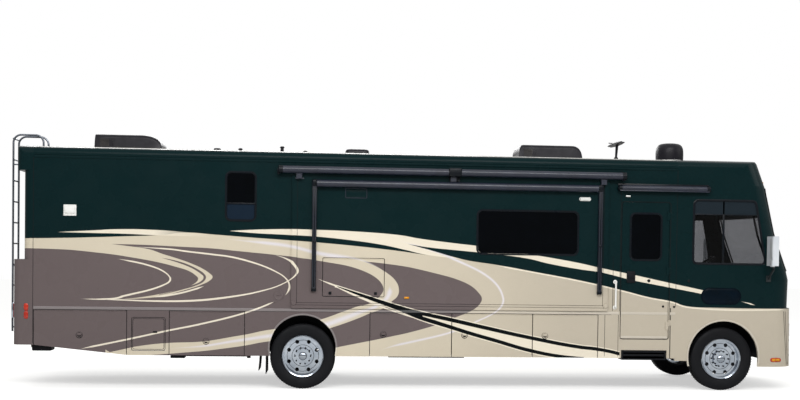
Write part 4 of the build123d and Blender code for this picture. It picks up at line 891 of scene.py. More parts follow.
def button(bm, centre, way, radius, rim, inner, rise, top, steps=24):
    """A low turned knob: a straight rim, then a slope up to an inner radius and a slightly crowned top."""
    turn(bm, centre, way, [(0, 0), (radius, 0), (radius, rim), (inner, rise), (0, top)], steps)


def loft(bm, sections):
    """Skins a row of sections that have the same number of points, and closes both ends."""
    rings = [[bm.verts.new(p) for p in section] for section in sections]
    for one, two in zip(rings, rings[1:]):
        for i in range(len(one)):
            j = (i + 1) % len(one)
            bm.faces.new((one[i], one[j], two[j], two[i]))
    bm.faces.new(rings[0])
    bm.faces.new(rings[-1])


class first_faces:
    """Faces made inside this block get their own place in the piece's list of finishes."""

    def __init__(self, bm, number):
        self.bm, self.number = bm, number

    def __enter__(self):
        self.before = set(self.bm.faces)

    def __exit__(self, *_):
        for face in self.bm.faces:
            if face not in self.before:
                face.material_index = self.number


def bead(width, proud, sunk=0.001):
    """A low rounded profile that sits on a wall: width across, proud of it."""
    w = width / 2
    return [(-w, -sunk), (w, -sunk), (w, proud * 0.55), (w * 0.6, proud), (-w * 0.6, proud), (-w, proud * 0.55)]


def piece(name, bm, body, material, sharp=32):
    """Closes the mesh, points its faces out, and makes it a piece that rides on a body."""
    bmesh.ops.remove_doubles(bm, verts=bm.verts, dist=1e-6)
    bmesh.ops.recalc_face_normals(bm, faces=bm.faces)
    for edge in bm.edges:
        edge.smooth = not (edge.is_manifold and edge.calc_face_angle(0) > math.radians(sharp))
    for face in bm.faces:
        face.smooth = True
    mesh = bpy.data.meshes.new(name)
    bm.to_mesh(mesh)
    bm.free()
    made = bpy.data.objects.new(name, mesh)
    scene.collection.objects.link(made)
    for finish in [material] if isinstance(material, bpy.types.Material) else material:
        mesh.materials.append(finish)
    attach(made, body)
    return made


print("shaping tools ready")

# %% [markdown]
# Things that repeat, such as tread lugs, wheel nuts, louvres and rivets, come from one Geometry Nodes tree.
# It sets a small block or a short hexagonal stud on each point of a ring or a row, turns each to face out
# from the ring, and ends in plain mesh. Its inputs are named sizes, set by socket identifier.

# %% Repeating tree


def repeat_tree(kind):
    """A tree that repeats a block or a stud on a ring about Y or in a row. kind is ring_block, row_stud and so on."""
    tree = bpy.data.node_groups.new("repeat_" + kind, "GeometryNodeTree")
    face = tree.interface
    face.new_socket("Geometry", in_out="OUTPUT", socket_type="NodeSocketGeometry")
    inputs = {"Count": "Int", "Radius": "Float", "Step": "Vector", "Size": "Vector"}
    inputs |= {"Tilt": "Vector", "Place": "Vector", "Finish": "Material"}
    for name, form in inputs.items():
        face.new_socket(name, in_out="INPUT", socket_type="NodeSocket" + form)
    given = add(tree, "NodeGroupInput").outputs
    if kind.startswith("ring"):
        points = add(tree, "GeometryNodeMeshCircle", {"Vertices": given["Count"], "Radius": given["Radius"]})
        middle = add(tree, "GeometryNodeInputPosition")
        aim = add(tree, "FunctionNodeAlignRotationToVector", {"Vector": middle}, axis="X")
        tilt = add(tree, "FunctionNodeRotateRotation", {0: aim, 1: given["Tilt"]}, rotation_space="LOCAL")
    else:
        points = add(tree, "GeometryNodeMeshLine", {"Count": given["Count"], "Offset": given["Step"]})
        tilt = given["Tilt"]
    if kind.endswith("block"):
        shape = add(tree, "GeometryNodeMeshCube", {"Size": given["Size"]})
    else:
        shape = add(tree, "GeometryNodeMeshCylinder", {"Vertices": 6, "Radius": 1.0, "Depth": 1.0})
        shape = add(tree, "GeometryNodeTransform", {"Geometry": shape, "Scale": given["Size"]})
    spread = add(tree, "GeometryNodeInstanceOnPoints", {"Points": points, "Instance": shape, "Rotation": tilt})
    solid = add(tree, "GeometryNodeRealizeInstances", {"Geometry": spread})
    if kind.startswith("ring"):
        solid = add(tree, "GeometryNodeTransform", {"Geometry": solid, "Rotation": (math.pi / 2, 0, 0)})
    moved = add(tree, "GeometryNodeTransform", {"Geometry": solid, "Translation": given["Place"]})
    coated = add(tree, "GeometryNodeSetMaterial", {"Geometry": moved, "Material": given["Finish"]})
    add(tree, "NodeGroupOutput", [coated])
    return tree


trees = {kind: repeat_tree(kind) for kind in ("ring_block", "ring_stud", "row_block", "row_stud")}


def repeated_into(bm, kind, material, **sizes):
    """Adds a run of the tree to a mesh in the making."""
    holder = bpy.data.objects.new("repeat_holder", bpy.data.meshes.new("repeat_holder"))
    scene.collection.objects.link(holder)
    grown = holder.modifiers.new("repeat", "NODES")
    grown.node_group = trees[kind]
    values = {"Finish": material} | sizes
    for item in trees[kind].interface.items_tree:
        if item.in_out == "INPUT" and item.name in values:
            grown[item.identifier] = values[item.name]
    bpy.context.view_layer.update()
    evaluated = holder.evaluated_get(bpy.context.evaluated_depsgraph_get())
    mesh = bpy.data.meshes.new_from_object(evaluated)
    holder.modifiers.clear()
    bpy.data.objects.remove(holder)
    bm.from_mesh(mesh)


print("trees", sorted(trees))

# %% [markdown]
# Many fittings sit on curved caps, so a helper finds the skin: it shoots a line at a body's mesh and gives
# back where it lands and which way the skin faces there. Others sweep trim along the flat walls.

# %% Finding the skin
from mathutils.bvhtree import BVHTree

skins = {}


def skin_of(mesh):
    return BVHTree.FromPolygons([v.co for v in mesh.vertices], [list(p.vertices) for p in mesh.polygons])


def skin_point(node, start, towards):
    """Where a line from start lands on a body's skin, and the way the skin faces."""
    if node not in skins:
        skins[node] = skin_of(nodes[node].data)
    place, facing, _, _ = skins[node].ray_cast(Vector(start), Vector(towards))
    if place is None:
        return None, None
    if facing.dot(Vector(towards)) > 0:
        facing = -facing
    return place, facing


def rounded_path(corners, radius, steps=6):
    """A closed path round some corners in a wall's plane, each corner rounded off."""
    corners = [Vector(c) for c in corners]
    path = []
    for i, corner in enumerate(corners):
        one = (corners[i - 1] - corner).normalized()
        two = (corners[(i + 1) % len(corners)] - corner).normalized()
        half = one.angle(two) / 2
        reach = radius / math.tan(half)
        first, last = corner + one * reach, corner + two * reach
        centre = corner + (one + two).normalized() * (radius / math.sin(half))
        for k in range(steps + 1):
            spoke = (first - centre).normalized().slerp((last - centre).normalized(), k / steps)
            path.append(centre + spoke * radius)
    return path


def wall_rect(x0, x1, z0, z1, y):
    return [(x0, y, z0), (x1, y, z0), (x1, y, z1), (x0, y, z1)]


def wall_ring(bm, rect, grow, y, radius, profile):
    """Sweeps a profile round a rectangle (x0, x1, z0, z1), grown a little, on the wall at y."""
    x0, x1, z0, z1 = rect
    outline = wall_rect(x0 - grow, x1 + grow, z0 - grow, z1 + grow, y)
    sweep(bm, rounded_path(outline, radius), profile, True, (0, math.copysign(1, y), 0))


def wall_run(bm, path, y, profile):
    """Sweeps a profile along places (x, z) on the wall at y."""
    sweep(bm, [(x, y, z) for x, z in path], profile, False, (0, math.copysign(1, y), 0))


def wall_box(name):
    low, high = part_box(name)
    return low.x, high.x, low.z, high.z


def roof_z(x, y):
    return skin_point("roof", (x, y, 5), (0, 0, -1))[0].z


print("roof crown", [round(c, 3) for c in skin_point("roof", (0, 0.6, 5), (0, 0, -1))[0]])

# %% [markdown]
# Window frames are black anodised extrusions that are clamped to the wall with a rubber bead against the
# glass. Each is one profile swept round a rounded rectangle. A sliding window has a bar where its panes meet.

# %% Window frames
cab_window = [(4.062, 1.87), (5.157, 1.87), (4.992, 2.80), (4.062, 2.80)]
window_frames = {
    "right_window_frames": ("coach", right, wall_y, [(-2.695, -2.297, 2.395, 3.062)], [(-2.695, -2.297, 2.627)]),
    "left_window_frames": (
        "coach",
        left,
        wall_y,
        [(-2.695, -2.297, 2.395, 3.062), (-1.305, -0.305, 1.985, 2.59), (0.880, 2.325, 1.985, 2.59)],
        [(-2.695, -2.297, 2.627)],
    ),
    "slide_window_frame": ("slide_out", right, slide_y, [(0.878, 2.332, 1.975, 2.588)], []),
    "door_window_frame": ("entry_door_body", right, wall_y, [(3.130, 3.572, 1.918, 2.582)], []),
}
for name, (body_name, side, y, panes, bars) in window_frames.items():
    bm = bmesh.new()
    for pane in panes:
        for width, proud, grow in ((0.020, 0.007, 0.012), (0.008, 0.003, -0.004)):
            wall_ring(bm, pane, grow, side * y, 0.065 + grow, bead(width, proud))
    for x0, x1, z in bars:
        block(bm, (x0, side * (y - 0.004), z - 0.011), (x1, side * (y + 0.003), z + 0.011), 0.003)
    if body_name == "coach":
        outline = [(x, side * y, z) for x, z in cab_window]
        sweep(bm, rounded_path(outline, 0.07), bead(0.030, 0.008), True, (0, side, 0))
        block(bm, (4.497, side * (y - 0.012), 1.87), (4.527, side * (y + 0.002), 2.59), 0.004)
        block(bm, (4.07, side * (y - 0.010), 2.582), (5.02, side * (y - 0.002), 2.598), 0.003)
    piece(name, bm, body_name, frame_metal)
print("window frames", list(window_frames))

# %% [markdown]
# A belt strip covers the joint of the wall panels, and a rail covers the joint of wall and roof. Both are long
# extrusions with a rounded face that catches the light as a thin bright line. On the belt strips the paint is also
# lightened, a painted highlight. The belt on the entry door is a separate length, so that the door opens.

# %% Belt strips and roof rails
belt_z, wall_end = 1.130, 3.808
door_x = (2.998, 3.694)
for name, body_name, side, spans in (
    ("right_belt_strip", "coach", right, [(-5.335, 2.965), (3.730, wall_end)]),
    ("left_belt_strip", "coach", left, [(-5.335, wall_end)]),
    ("door_belt_strip", "entry_door_body", right, [door_x]),
):
    bm = bmesh.new()
    for x0, x1 in spans:
        wall_run(bm, [(x, belt_z) for x in np.linspace(x0, x1, 12)], side * wall_y, bead(0.040, 0.006))
    # The belt strips take the lightened trim paint: a painted highlight.
    piece(name, bm, body_name, trim_paint_with_painted_highlight)
for name, side in (("right_roof_rail", right), ("left_roof_rail", left)):
    bm = bmesh.new()
    for z, width, proud in ((3.232, 0.030, 0.009), (3.262, 0.012, 0.005)):
        wall_run(bm, [(x, z) for x in np.linspace(-5.33, 3.80, 24)], side * (wall_y + 0.001), bead(width, proud))
    piece(name, bm, "coach", paint)
print("belt and rails made")

# %% [markdown]
# Every opening panel shuts on a rubber gasket. From outside it shows as a dark line round the panel. The
# line stops at the skirt, where the panel's lower edge is open.

# %% Gaskets
bm = bmesh.new()
seal, thin_seal = bead(0.007, 0.0015), bead(0.005, 0.0015)
gap = 0.006
for name in bay_doors:
    low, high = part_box(name)
    x0, x1, top = low.x - gap, high.x + gap, high.z + gap
    # The rearmost door follows the rise of the skirt towards the tail.
    foot = {x: max(low.z, 0.61 - (x + 5.345) * 0.105 if x < -4.065 else low.z) + 0.004 for x in (x0, x1)}
    y = -wall_y if low.y < 0 else wall_y
    wall_run(bm, [(x0, foot[x0]), (x0, top), (x1, top), (x1, foot[x1])], y, seal)
wall_ring(bm, wall_box("utility_hatch"), 0.005, -wall_y, 0.03, seal)
wall_ring(bm, wall_box("entry_door"), 0.007, -wall_y, 0.04, bead(0.008, 0.002))
piece("panel_gaskets", bm, "coach", seal_rubber)

bm = bmesh.new()
wall_ring(bm, wall_box("cabinet_door"), gap, -slide_y, 0.02, seal)
for path in (
    [(-1.700, 1.235), (-1.700, 3.05)],
    [(2.717, 1.235), (2.717, 3.05)],
    [(-1.775, 1.238), (2.792, 1.238)],
    [(-1.775, 1.205), (2.792, 1.205)],
):
    wall_run(bm, path, -slide_y, thin_seal)
piece("slide_seams", bm, "slide_out", seal_rubber)

bm = bmesh.new()
wall_ring(bm, (-1.774, 2.791, 1.163, 3.094), 0, -slide_y, 0.03, bead(0.012, 0.004))
for x in (-1.742, 2.762):
    button(bm, (x, -slide_y, 1.236), (0, -1, 0), 0.036, 0.006, 0.030, 0.012, 0.014, 32)
piece("slide_flange_trim", bm, "slide_out", paint)

# The inner outline of the utility hatch is a raised frame, and a pull stands on it.
bm = bmesh.new()
wall_ring(bm, wall_box("utility_hatch"), -0.012, -wall_y, 0.03, bead(0.006, 0.002))
block(bm, (-3.70, -wall_y - 0.008, 0.790), (-3.64, -wall_y + 0.002, 0.814), 0.005)
piece("utility_hatch_trim", bm, "utility_hatch_body", black_abs)
print("gaskets round", len(bay_doors) + 3, "panels")

# %% [markdown]
# Each luggage door has one round slam latch: a rubber ring, a dished cup in the door's paint and a paddle across it.
# The black ring is set 4 mm low, so it shows widest under the cup: partly the ring and partly a painted shadow. Both
# sides of the coach have the same ones.

# %% Slam latches
latch_x = {
    "right_rear_bay_door": -4.709,
    "right_aft_bay_door": -2.961,
    "right_middle_bay_door_1": -0.462,
    "right_middle_bay_door_2": 0.709,
    "right_middle_bay_door_3": 1.881,
}
latch_z = {"rear": 0.757, "aft": 0.680}
for name in bay_doors:
    low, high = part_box(name)
    side = right if low.y < 0 else left
    x = latch_x.get(name, (low.x + high.x) / 2)
    z = next((height for word, height in latch_z.items() if word in name), 0.795)
    bm = bmesh.new()
    cup = [(0.041, -0.001), (0.041, 0.005), (0.037, 0.007), (0.033, 0.004), (0.029, 0.001), (0, 0.0005)]
    turn(bm, (x, side * wall_y, z), (0, side, 0), cup, 32)
    block(bm, (x - 0.026, side * wall_y, z - 0.010), (x + 0.026, side * (wall_y + 0.008), z + 0.026), 0.006, 3)
    # The black ring under the cup sits 4 mm low: its rubber ring and a painted shadow below the latch.
    with first_faces(bm, 1):
        turn(bm, (x, side * wall_y, z - 0.004), (0, side, 0), [(0.047, -0.001), (0.047, 0.002), (0, 0.0022)], 32)
    piece("latch_" + name, bm, name + "_body", [paint, seal_rubber])
print("latches", len(bay_doors))

# %% [markdown]
# The wheel arches have a rolled lip, which stiffens the cut edge. Its paint is lightened, a painted highlight along
# the lip. It is one profile swept round the part of a circle that lies above the skirt.

# %% Arch lips
bm = bmesh.new()
for side in (right, left):
    for x, z, radius, foot in ((rear_x, 0.590, 0.480, 0.480), (front_x, 0.500, 0.540, 0.365)):
        drop = math.asin((foot - z) / radius)
        angles = np.linspace(drop, math.pi - drop, 44)
        path = [(x + radius * math.cos(a), side * wall_y, z + radius * math.sin(a)) for a in angles]
        sweep(bm, path, bead(0.026, 0.010), False, (0, side, 0))
# The lip takes the lightened trim paint: a painted highlight.
piece("arch_lips", bm, "coach", trim_paint_with_painted_highlight)
print("four arch lips")

# %% [markdown]
# The entry door has a black latch box with a paddle, a deadbolt and a key slot above each other, three
# hinges on its front edge and a rubber catch that holds it open against its mate on the nose.

# %% Entry door fittings
y = -wall_y
# Two knobs pass close to each other when the door is fully open, so both stay 6 mm proud.
low_knob = (0.017, 0.003, 0.010, 0.006, 0.006)
bm = bmesh.new()
block(bm, (3.073, y - 0.016, 1.575), (3.200, y + 0.002, 1.745), 0.008, 3)
block(bm, (3.092, y - 0.026, 1.640), (3.182, y - 0.012, 1.700), 0.008, 3)
piece("door_latch", bm, "entry_door_body", black_abs)
bm = bmesh.new()
button(bm, (3.405, y, 1.610), (0, -1, 0), 0.022, 0.006, 0.016, 0.010, 0.011, 28)
block(bm, (3.402, y - 0.004, 1.430), (3.412, y + 0.001, 1.490), 0.002)
button(bm, (3.624, y, 1.235), (0, -1, 0), *low_knob)
piece("door_deadbolt", bm, "entry_door_body", black_abs)
bm = bmesh.new()
button(bm, (3.789, y, 1.231), (0, -1, 0), *low_knob)
button(bm, (4.003, y, 1.613), (0, -1, 0), 0.020, 0.004, 0.014, 0.008, 0.009)
piece("door_catch", bm, "coach", black_abs)
bm = bmesh.new()
for z in (0.95, 1.72, 2.52):
    turn(bm, (3.712, y - 0.003, z), (0, 0, 1), [(0, 0), (0.007, 0.001), (0.007, 0.089), (0, 0.09)], 16)
    block(bm, (3.714, y - 0.004, z + 0.005), (3.745, y + 0.001, z + 0.085), 0.002)
piece("door_hinges", bm, "coach", paint)
bm = bmesh.new()
block(bm, (door_x[0], y - 0.007, 0.765), (door_x[1], y + 0.001, 0.800), 0.004)
wall_run(bm, [(x, belt_z) for x in (door_x[0], 3.2, 3.45, door_x[1])], y, bead(0.004, 0.001))
# The pressing and its line take the lightened trim paint: a painted highlight.
piece("door_pressing", bm, "entry_door_body", trim_paint_with_painted_highlight)

# A chrome grab handle stands beside the door on two feet.
bm = bmesh.new()
x, out_y = 2.905, y - 0.052
path = [(x, y, 1.585), (x, y - 0.030, 1.588), (x, out_y, 1.575), (x, out_y, 1.50), (x, out_y, 1.30)]
path += [(x, out_y, 1.225), (x, y - 0.030, 1.212), (x, y, 1.215)]
tube(bm, path, 0.013, 16)
for z in (1.585, 1.215):
    button(bm, (x, y, z), (0, -1, 0), 0.030, 0.004, 0.018, 0.010, 0.010)
piece("grab_handle", bm, "coach", white_abs)
print("door fittings made")

# %% [markdown]
# Small side fittings: the refrigerator vent plate, the fuel filler, porch lights, an amber side lamp, cabinet
# latches and the outlet outline high on the slide-out.

# %% Side fittings
bm = bmesh.new()
block(bm, (-4.935, y - 0.010, 2.415), (-4.760, y + 0.002, 2.570), 0.006, 3)
block(bm, (-4.918, y - 0.026, 2.450), (-4.777, y - 0.006, 2.556), 0.012, 3)
block(bm, (3.040, y - 0.030, 2.826), (3.105, y + 0.002, 2.848), 0.006, 3)
piece("white_wall_fittings", bm, "coach", white_abs)
bm = bmesh.new()
lid = [(0, 0), (0.075, 0), (0.075, 0.004), (0.066, 0.009), (0.058, 0.006), (0, 0.006)]
turn(bm, (-1.950, y, 1.345), (0, -1, 0), lid)
block(bm, (-1.978, y - 0.014, 1.335), (-1.922, y - 0.003, 1.352), 0.004)
turn(bm, (-2.010, y, 1.250), (0, -1, 0), [(0, 0), (0.020, 0), (0.020, 0.006), (0, 0.008)], 24)
piece("fuel_filler", bm, "coach", paint)
y = -slide_y
bm = bmesh.new()
wall_ring(bm, (2.352, 2.515, 2.758, 2.802), 0, y, 0.021, bead(0.010, 0.010))
block(bm, (2.362, y - 0.024, 2.764), (2.505, y + 0.002, 2.796), 0.014, 4)
piece("porch_light", bm, "slide_out", white_abs)
bm = bmesh.new()
block(bm, (-0.172, y - 0.016, 1.308), (-0.100, y + 0.002, 1.338), 0.009, 4)
piece("amber_side_lamp", bm, "slide_out", amber_lens)
bm = bmesh.new()
wall_ring(bm, (-1.023, -0.723, 2.735, 2.868), 0, y, 0.012, bead(0.010, 0.005))
with first_faces(bm, 1):
    block(bm, (-1.018, y - 0.003, 2.740), (-0.728, y + 0.001, 2.863), 0.003)
block(bm, (-1.735, y - 0.010, 2.988), (-1.610, y + 0.001, 3.006), 0.004)
piece("slide_outlet", bm, "slide_out", [awning_vinyl, paint])
bm = bmesh.new()
for x in (-1.228, -0.581):
    block(bm, (x - 0.020, y - 0.009, 1.358), (x + 0.020, y + 0.001, 1.398), 0.012, 4)
piece("cabinet_latches", bm, "cabinet_door_body", black_abs)
print("side fittings made")

# %% [markdown]
# The oval on each side of the nose is a dark bubble panel let into the skin. It has a raised rim.

# %% Nose ovals
for side, name in ((right, "right_nose_oval"), (left, "left_nose_oval")):
    y = side * wall_y
    outline = rounded_path(wall_rect(4.198, 4.788, 1.278, 1.510, y), 0.114, 12)
    bm = bmesh.new()
    sweep(bm, outline, bead(0.014, 0.008), True, (0, side, 0))
    centre = Vector((4.493, y, 1.394))
    dome = []
    for share, proud in ((1.0, 0.0), (0.93, 0.006), (0.75, 0.010), (0.4, 0.012)):
        dome.append([centre + (p - centre) * share + Vector((0, side * proud, 0)) for p in outline])
    loft(bm, dome)
    piece(name, bm, "coach", bubble_panel)
print("nose ovals made")

# %% [markdown]
# The awnings are rolls of vinyl on aluminium tubes. What shows beside the tubes are the end caps, the
# slotted arms, their elbows and feet, and a bracket that steadies the long topper at its middle.

# %% Awning hardware
bm = bmesh.new()
for x, z, y, radius, way in (
    (-1.960, 3.118, -1.364, 0.056, -1),
    (3.015, 3.118, -1.364, 0.056, 1),
    (-1.430, 2.930, -1.350, 0.046, -1),
    (2.611, 2.930, -1.350, 0.046, 1),
):
    cap = [(0, 0.012), (radius * 0.7, 0.012), (radius, 0.004), (radius, -0.05), (radius * 0.9, -0.054), (0, -0.054)]
    turn(bm, (x, y, z), (way, 0, 0), cap, 32)
for x in (-1.460, 2.660):
    face = -1.348
    block(bm, (x - 0.010, face - 0.004, 1.46), (x + 0.010, face + 0.002, 2.88), 0.003)
    for edge in (-0.026, 0.026):
        block(bm, (x + edge - 0.004, face - 0.006, 1.43), (x + edge + 0.004, face + 0.002, 2.92), 0.002)
    block(bm, (x - 0.036, face - 0.004, 1.400), (x + 0.036, -slide_y, 1.450), 0.010, 3)
    block(bm, (x - 0.038, face - 0.010, 2.885), (x + 0.038, -slide_y, 2.985), 0.014, 3)
    button(bm, (x, face - 0.004, 2.10), (0, -1, 0), 0.020, 0.010, 0.012, 0.014, 0.014, 20)
block(bm, (0.435, -1.424, 3.060), (0.625, -1.304, 3.182), 0.020, 3)
block(bm, (0.455, -1.330, 2.995), (0.605, -1.296, 3.070), 0.008, 3)
for x in (0.470, 0.590):
    block(bm, (x - 0.010, -1.334, 2.975), (x + 0.010, -1.298, 3.010), 0.004)
for x in (-1.975, 2.985):
    block(bm, (x - 0.012, -1.372, 3.050), (x + 0.030, -1.298, 3.135), 0.010, 3)
piece("awning_hardware", bm, "slide_out", frame_metal)
# The door awning is a short slim roll on a backing rail. Its housing holds it clear of the wall.
bm = bmesh.new()
low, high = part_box("door_awning")
roll_y, roll_z, roll = -1.330, 2.952, 0.042
long = high.x - low.x - 0.06
turn(bm, (low.x + 0.03, roll_y, roll_z), (1, 0, 0), [(0, 0), (roll, 0), (roll, long), (0, long)], 32)
block(bm, (low.x + 0.03, roll_y - 0.038, roll_z - 0.046), (high.x - 0.03, roll_y - 0.020, roll_z - 0.030), 0.005)
with first_faces(bm, 1):
    block(bm, (low.x + 0.02, -1.284, roll_z - 0.030), (high.x - 0.02, -1.273, high.z), 0.004)
    cap = [(0, -0.03), (0.047, -0.03), (0.047, 0.012), (0.034, 0.026), (0, 0.028)]
    for x, way in ((low.x + 0.034, -1), (high.x - 0.034, 1)):
        turn(bm, (x, roll_y, roll_z), (way, 0, 0), cap, 28)
        block(bm, (x - 0.016, roll_y, roll_z + 0.010), (x + 0.016, -1.272, roll_z + 0.040), 0.006)
door_roll = piece("door_awning_roll", bm, "coach", [awning_vinyl, frame_metal])
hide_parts("door_awning")
print("awning hardware made")

# %% [markdown]
# Tyres are turned from a real side wall section: bead, bulge, shoulder and a crown with three grooves. Then
# the repeating tree sets a ring of lugs on each shoulder. Rear tyres are twins with a gap between them.

# %% Tyres
rim_radius, tyre_width = 0.292, 0.235
front_track, rear_track, twin_gap = 1.085, 1.090, 0.31
lug_ring, lug_across = 0.4565, 0.092


def tyre_section():
    """Half a tyre's section from bead to crown, then its mirror: (radius, across)."""
    w = tyre_width / 2
    half = [(rim_radius, w * 0.76), (rim_radius + 0.012, w * 0.84), (0.335, w * 0.95), (0.375, w * 0.995)]
    half += [(0.400, w), (0.420, w * 0.985), (0.440, w * 0.95), (0.452, w * 0.90), (0.459, w * 0.84)]
    half += [(0.4625, w * 0.70), (0.4625, w * 0.52), (0.4545, w * 0.50), (0.4545, w * 0.42), (0.4645, w * 0.40)]
    half += [(0.4645, w * 0.07), (0.4560, w * 0.05)]
    mirrored = [(r, -a) for r, a in reversed(half)]
    inner = [(rim_radius + 0.008, -w * 0.60), (rim_radius + 0.008, w * 0.60)]
    return half + mirrored + inner


def tyre_piece(name, node, body_name, hub_x, centres, rubber):
    """One tyre or two on a hub. The section is closed by its own first point."""
    bm = bmesh.new()
    section = tyre_section()
    for centre in centres:
        turn(bm, (hub_x, centre, hub_z), (0, 1, 0), section + section[:1], 96)
        for across in (lug_across, -lug_across):
            repeated_into(bm, "ring_block", rubber, Count=72, Radius=lug_ring, Size=(0.014, 0.012, 0.034),
                          Place=(hub_x, centre + across, hub_z))
    made = piece(name, bm, body_name, rubber, 40)
    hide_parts(node)


sides = {"right": right, "left": left}
for name, side in sides.items():
    corner, hub = f"front_{name}", f"front_{name}_wheel_body"
    tyre_piece(corner + "_treaded_tyre", corner + "_tyre", hub, front_x, [side * front_track], front_rubber)
for name, side in sides.items():
    corner, pair = f"rear_{name}", [side * rear_track, side * (rear_track - twin_gap)]
    tyre_piece(corner + "_treaded_tyres", corner + "_tyres", corner + "_twin", rear_x, pair, rear_rubber)
print("six tyres")

# %% [markdown]
# The chrome wheels get their nuts from the repeating tree: ten hexagons on a ring, with a turned hub cap in the
# middle and a bright safety ring at the rim. The helper that finds the skin seats them on the disc. Two thin black
# rings on the disc are painted shade where its grooves are, and the front wheels show a dark brake drum behind it.

# %% Wheel nuts, hub caps and rim rings
for end, hub_x in (("front", front_x), ("rear", rear_x)):
    for side_name, side in sides.items():
        node = f"{end}_{side_name}_wheel" + ("s" if end == "rear" else "")
        body_name = f"{end}_{side_name}_wheel_body" if end == "front" else f"{end}_{side_name}_twin"
        seat, _ = skin_point(node, (hub_x + 0.085, side * 2, hub_z + 0.055), (0, -side, 0))
        nose, _ = skin_point(node, (hub_x + 0.045, side * 2, hub_z), (0, -side, 0))
        nose = nose or seat
        bm = bmesh.new()
        repeated_into(bm, "ring_stud", chrome_plate, Count=10, Radius=0.112, Size=(0.012, 0.012, 0.030),
                      Place=(hub_x, seat.y + side * 0.010, hub_z))
        cap = [(0, 0.024), (0.030, 0.022), (0.052, 0.012), (0.060, 0.0), (0.060, -0.012), (0, -0.012)]
        turn(bm, (hub_x, nose.y, hub_z), (0, side, 0), cap, 40)
        outer = side * (rear_track if end == "rear" else front_track) + side * tyre_width / 2
        ring = [(0.296, -0.028), (0.300, -0.016), (0.292, -0.008), (0.282, -0.012), (0.280, -0.028), (0.296, -0.028)]
        turn(bm, (hub_x, outer, hub_z), (0, side, 0), ring, 72)
        with first_faces(bm, 1):
            if end == "front":
                drum = [(0.130, 0.0), (0.225, 0.0), (0.232, -0.012), (0.232, -0.080), (0.130, -0.080), (0.130, 0.0)]
                turn(bm, (hub_x, seat.y - side * 0.055, hub_z), (0, side, 0), drum, 48)
            # Each ring is a black band 1.2 mm proud of the chrome: painted shade for a groove in the disc.
            for radius in (0.152, 0.222):
                outer_edge = radius + 0.006
                painted_groove_shade = [(radius, 0.0), (outer_edge, 0.0), (outer_edge, 0.0012), (radius, 0.0012), (radius, 0.0)]
                start = (hub_x + radius * 0.7, side * 2, hub_z + radius * 0.72)
                seat_here, _ = skin_point(node, start, (0, -side, 0))
                if seat_here is not None:
                    turn(bm, (hub_x, seat_here.y, hub_z), (0, side, 0), painted_groove_shade, 64)
        piece(f"{end}_{side_name}_wheel_trim", bm, body_name, [chrome_plate, chassis_enamel])
        print(end, side_name, "disc at", round(seat.y, 3), "hub at", round(nose.y, 3))

# %% [markdown]
# Two air conditioners sit on the roof under blow moulded shells: a steep back, a flat top and a nose that
# falls in a long curve. Each shell is lofted through arches. An arch is a cross-section whose height follows
# the side view, so one function draws the whole shell. The slats on its sides come from the repeating tree.

# %% Roof unit shells


def arch_section(x, half, base, height, shoulder, steps=8):
    """A cross-section at x: side walls with a little draft, round shoulders and a slightly crowned top."""
    shoulder = min(shoulder, height * 0.9)
    points = [(-half, base)]
    for i in range(steps + 1):
        a = math.pi - i / steps * math.pi / 2
        across = -half + 0.012 + shoulder + shoulder * math.cos(a)
        points.append((across, base + height - shoulder * (1 - math.sin(a))))
    for share in np.linspace(-0.7, 0.7, 9):
        crown = 0.008 * (1 - share**2) * min(1.0, height / 0.1)
        points.append((share * (half - 0.012 - shoulder), base + height + crown))
    points += [(-a, b) for a, b in reversed(points[: steps + 2])]
    return [(x, a, b) for a, b in points]


def unit_shell(bm, x0, x1, base, top, tail, nose):
    """One shell from x0 at the back to x1 at the nose. tail and nose are the lengths of the end curves."""
    height = top - base - 0.012
    stations = [(x0 + tail * (1 - math.cos(a)), math.sin(a) ** 0.8) for a in np.linspace(0.25, math.pi / 2, 8)]
    stations += [(x, 1.0) for x in np.linspace(x0 + tail, x1 - nose, 6)[1:-1]]
    stations += [(x1 - nose + nose * math.sin(a), math.cos(a) ** 0.75) for a in np.linspace(0, 1.50, 16)]
    heights = [(x, max(0.012, height * share)) for x, share in stations]
    loft(bm, [arch_section(x, 0.34, base + 0.008, rise, 0.055) for x, rise in heights])


bm = bmesh.new()
for x0, x1, base, top, tail, nose in (
    (-4.705, -3.735, 3.450, 3.655, 0.012, 0.30),
    (1.606, 2.592, 3.443, 3.645, 0.070, 0.15),
):
    unit_shell(bm, x0, x1, base, top, tail, nose)
    for side in (right, left):
        for x in (x0 + 0.235, x0 + 0.265):
            block(bm, (x - 0.003, side * 0.325, base + 0.03), (x + 0.003, side * 0.3425, top - 0.07), 0.001)
        repeated_into(bm, "row_block", shroud_plastic, Count=7, Step=(0, 0, 0.015), Size=(0.13, 0.006, 0.005),
                      Tilt=(0.5 * side, 0.0, 0.0), Place=(x0 + 0.145, side * 0.340, base + 0.035))
        repeated_into(bm, "row_stud", plated_steel, Count=4, Step=(0.24, 0, 0), Size=(0.006, 0.006, 0.008),
                      Tilt=(math.pi / 2, 0.0, 0.0), Place=(x0 + 0.10, side * 0.344, base + 0.018))
    with first_faces(bm, 1):
        block(bm, (x0 + 0.004, -0.35, base - 0.004), (x1 - 0.004, 0.35, base + 0.012), 0.004)
shells = piece("roof_unit_shells", bm, "coach", [shroud_plastic, dash_vinyl])
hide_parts("air_conditioners")
print("roof unit shells", len(shells.data.polygons), "faces")

# %% [markdown]
# The satellite dome is a turned bell: near-vertical sides, a round shoulder and a flat crown, on a pale base
# ring. Turning a profile is the shortest way to it, and leaves no facets.

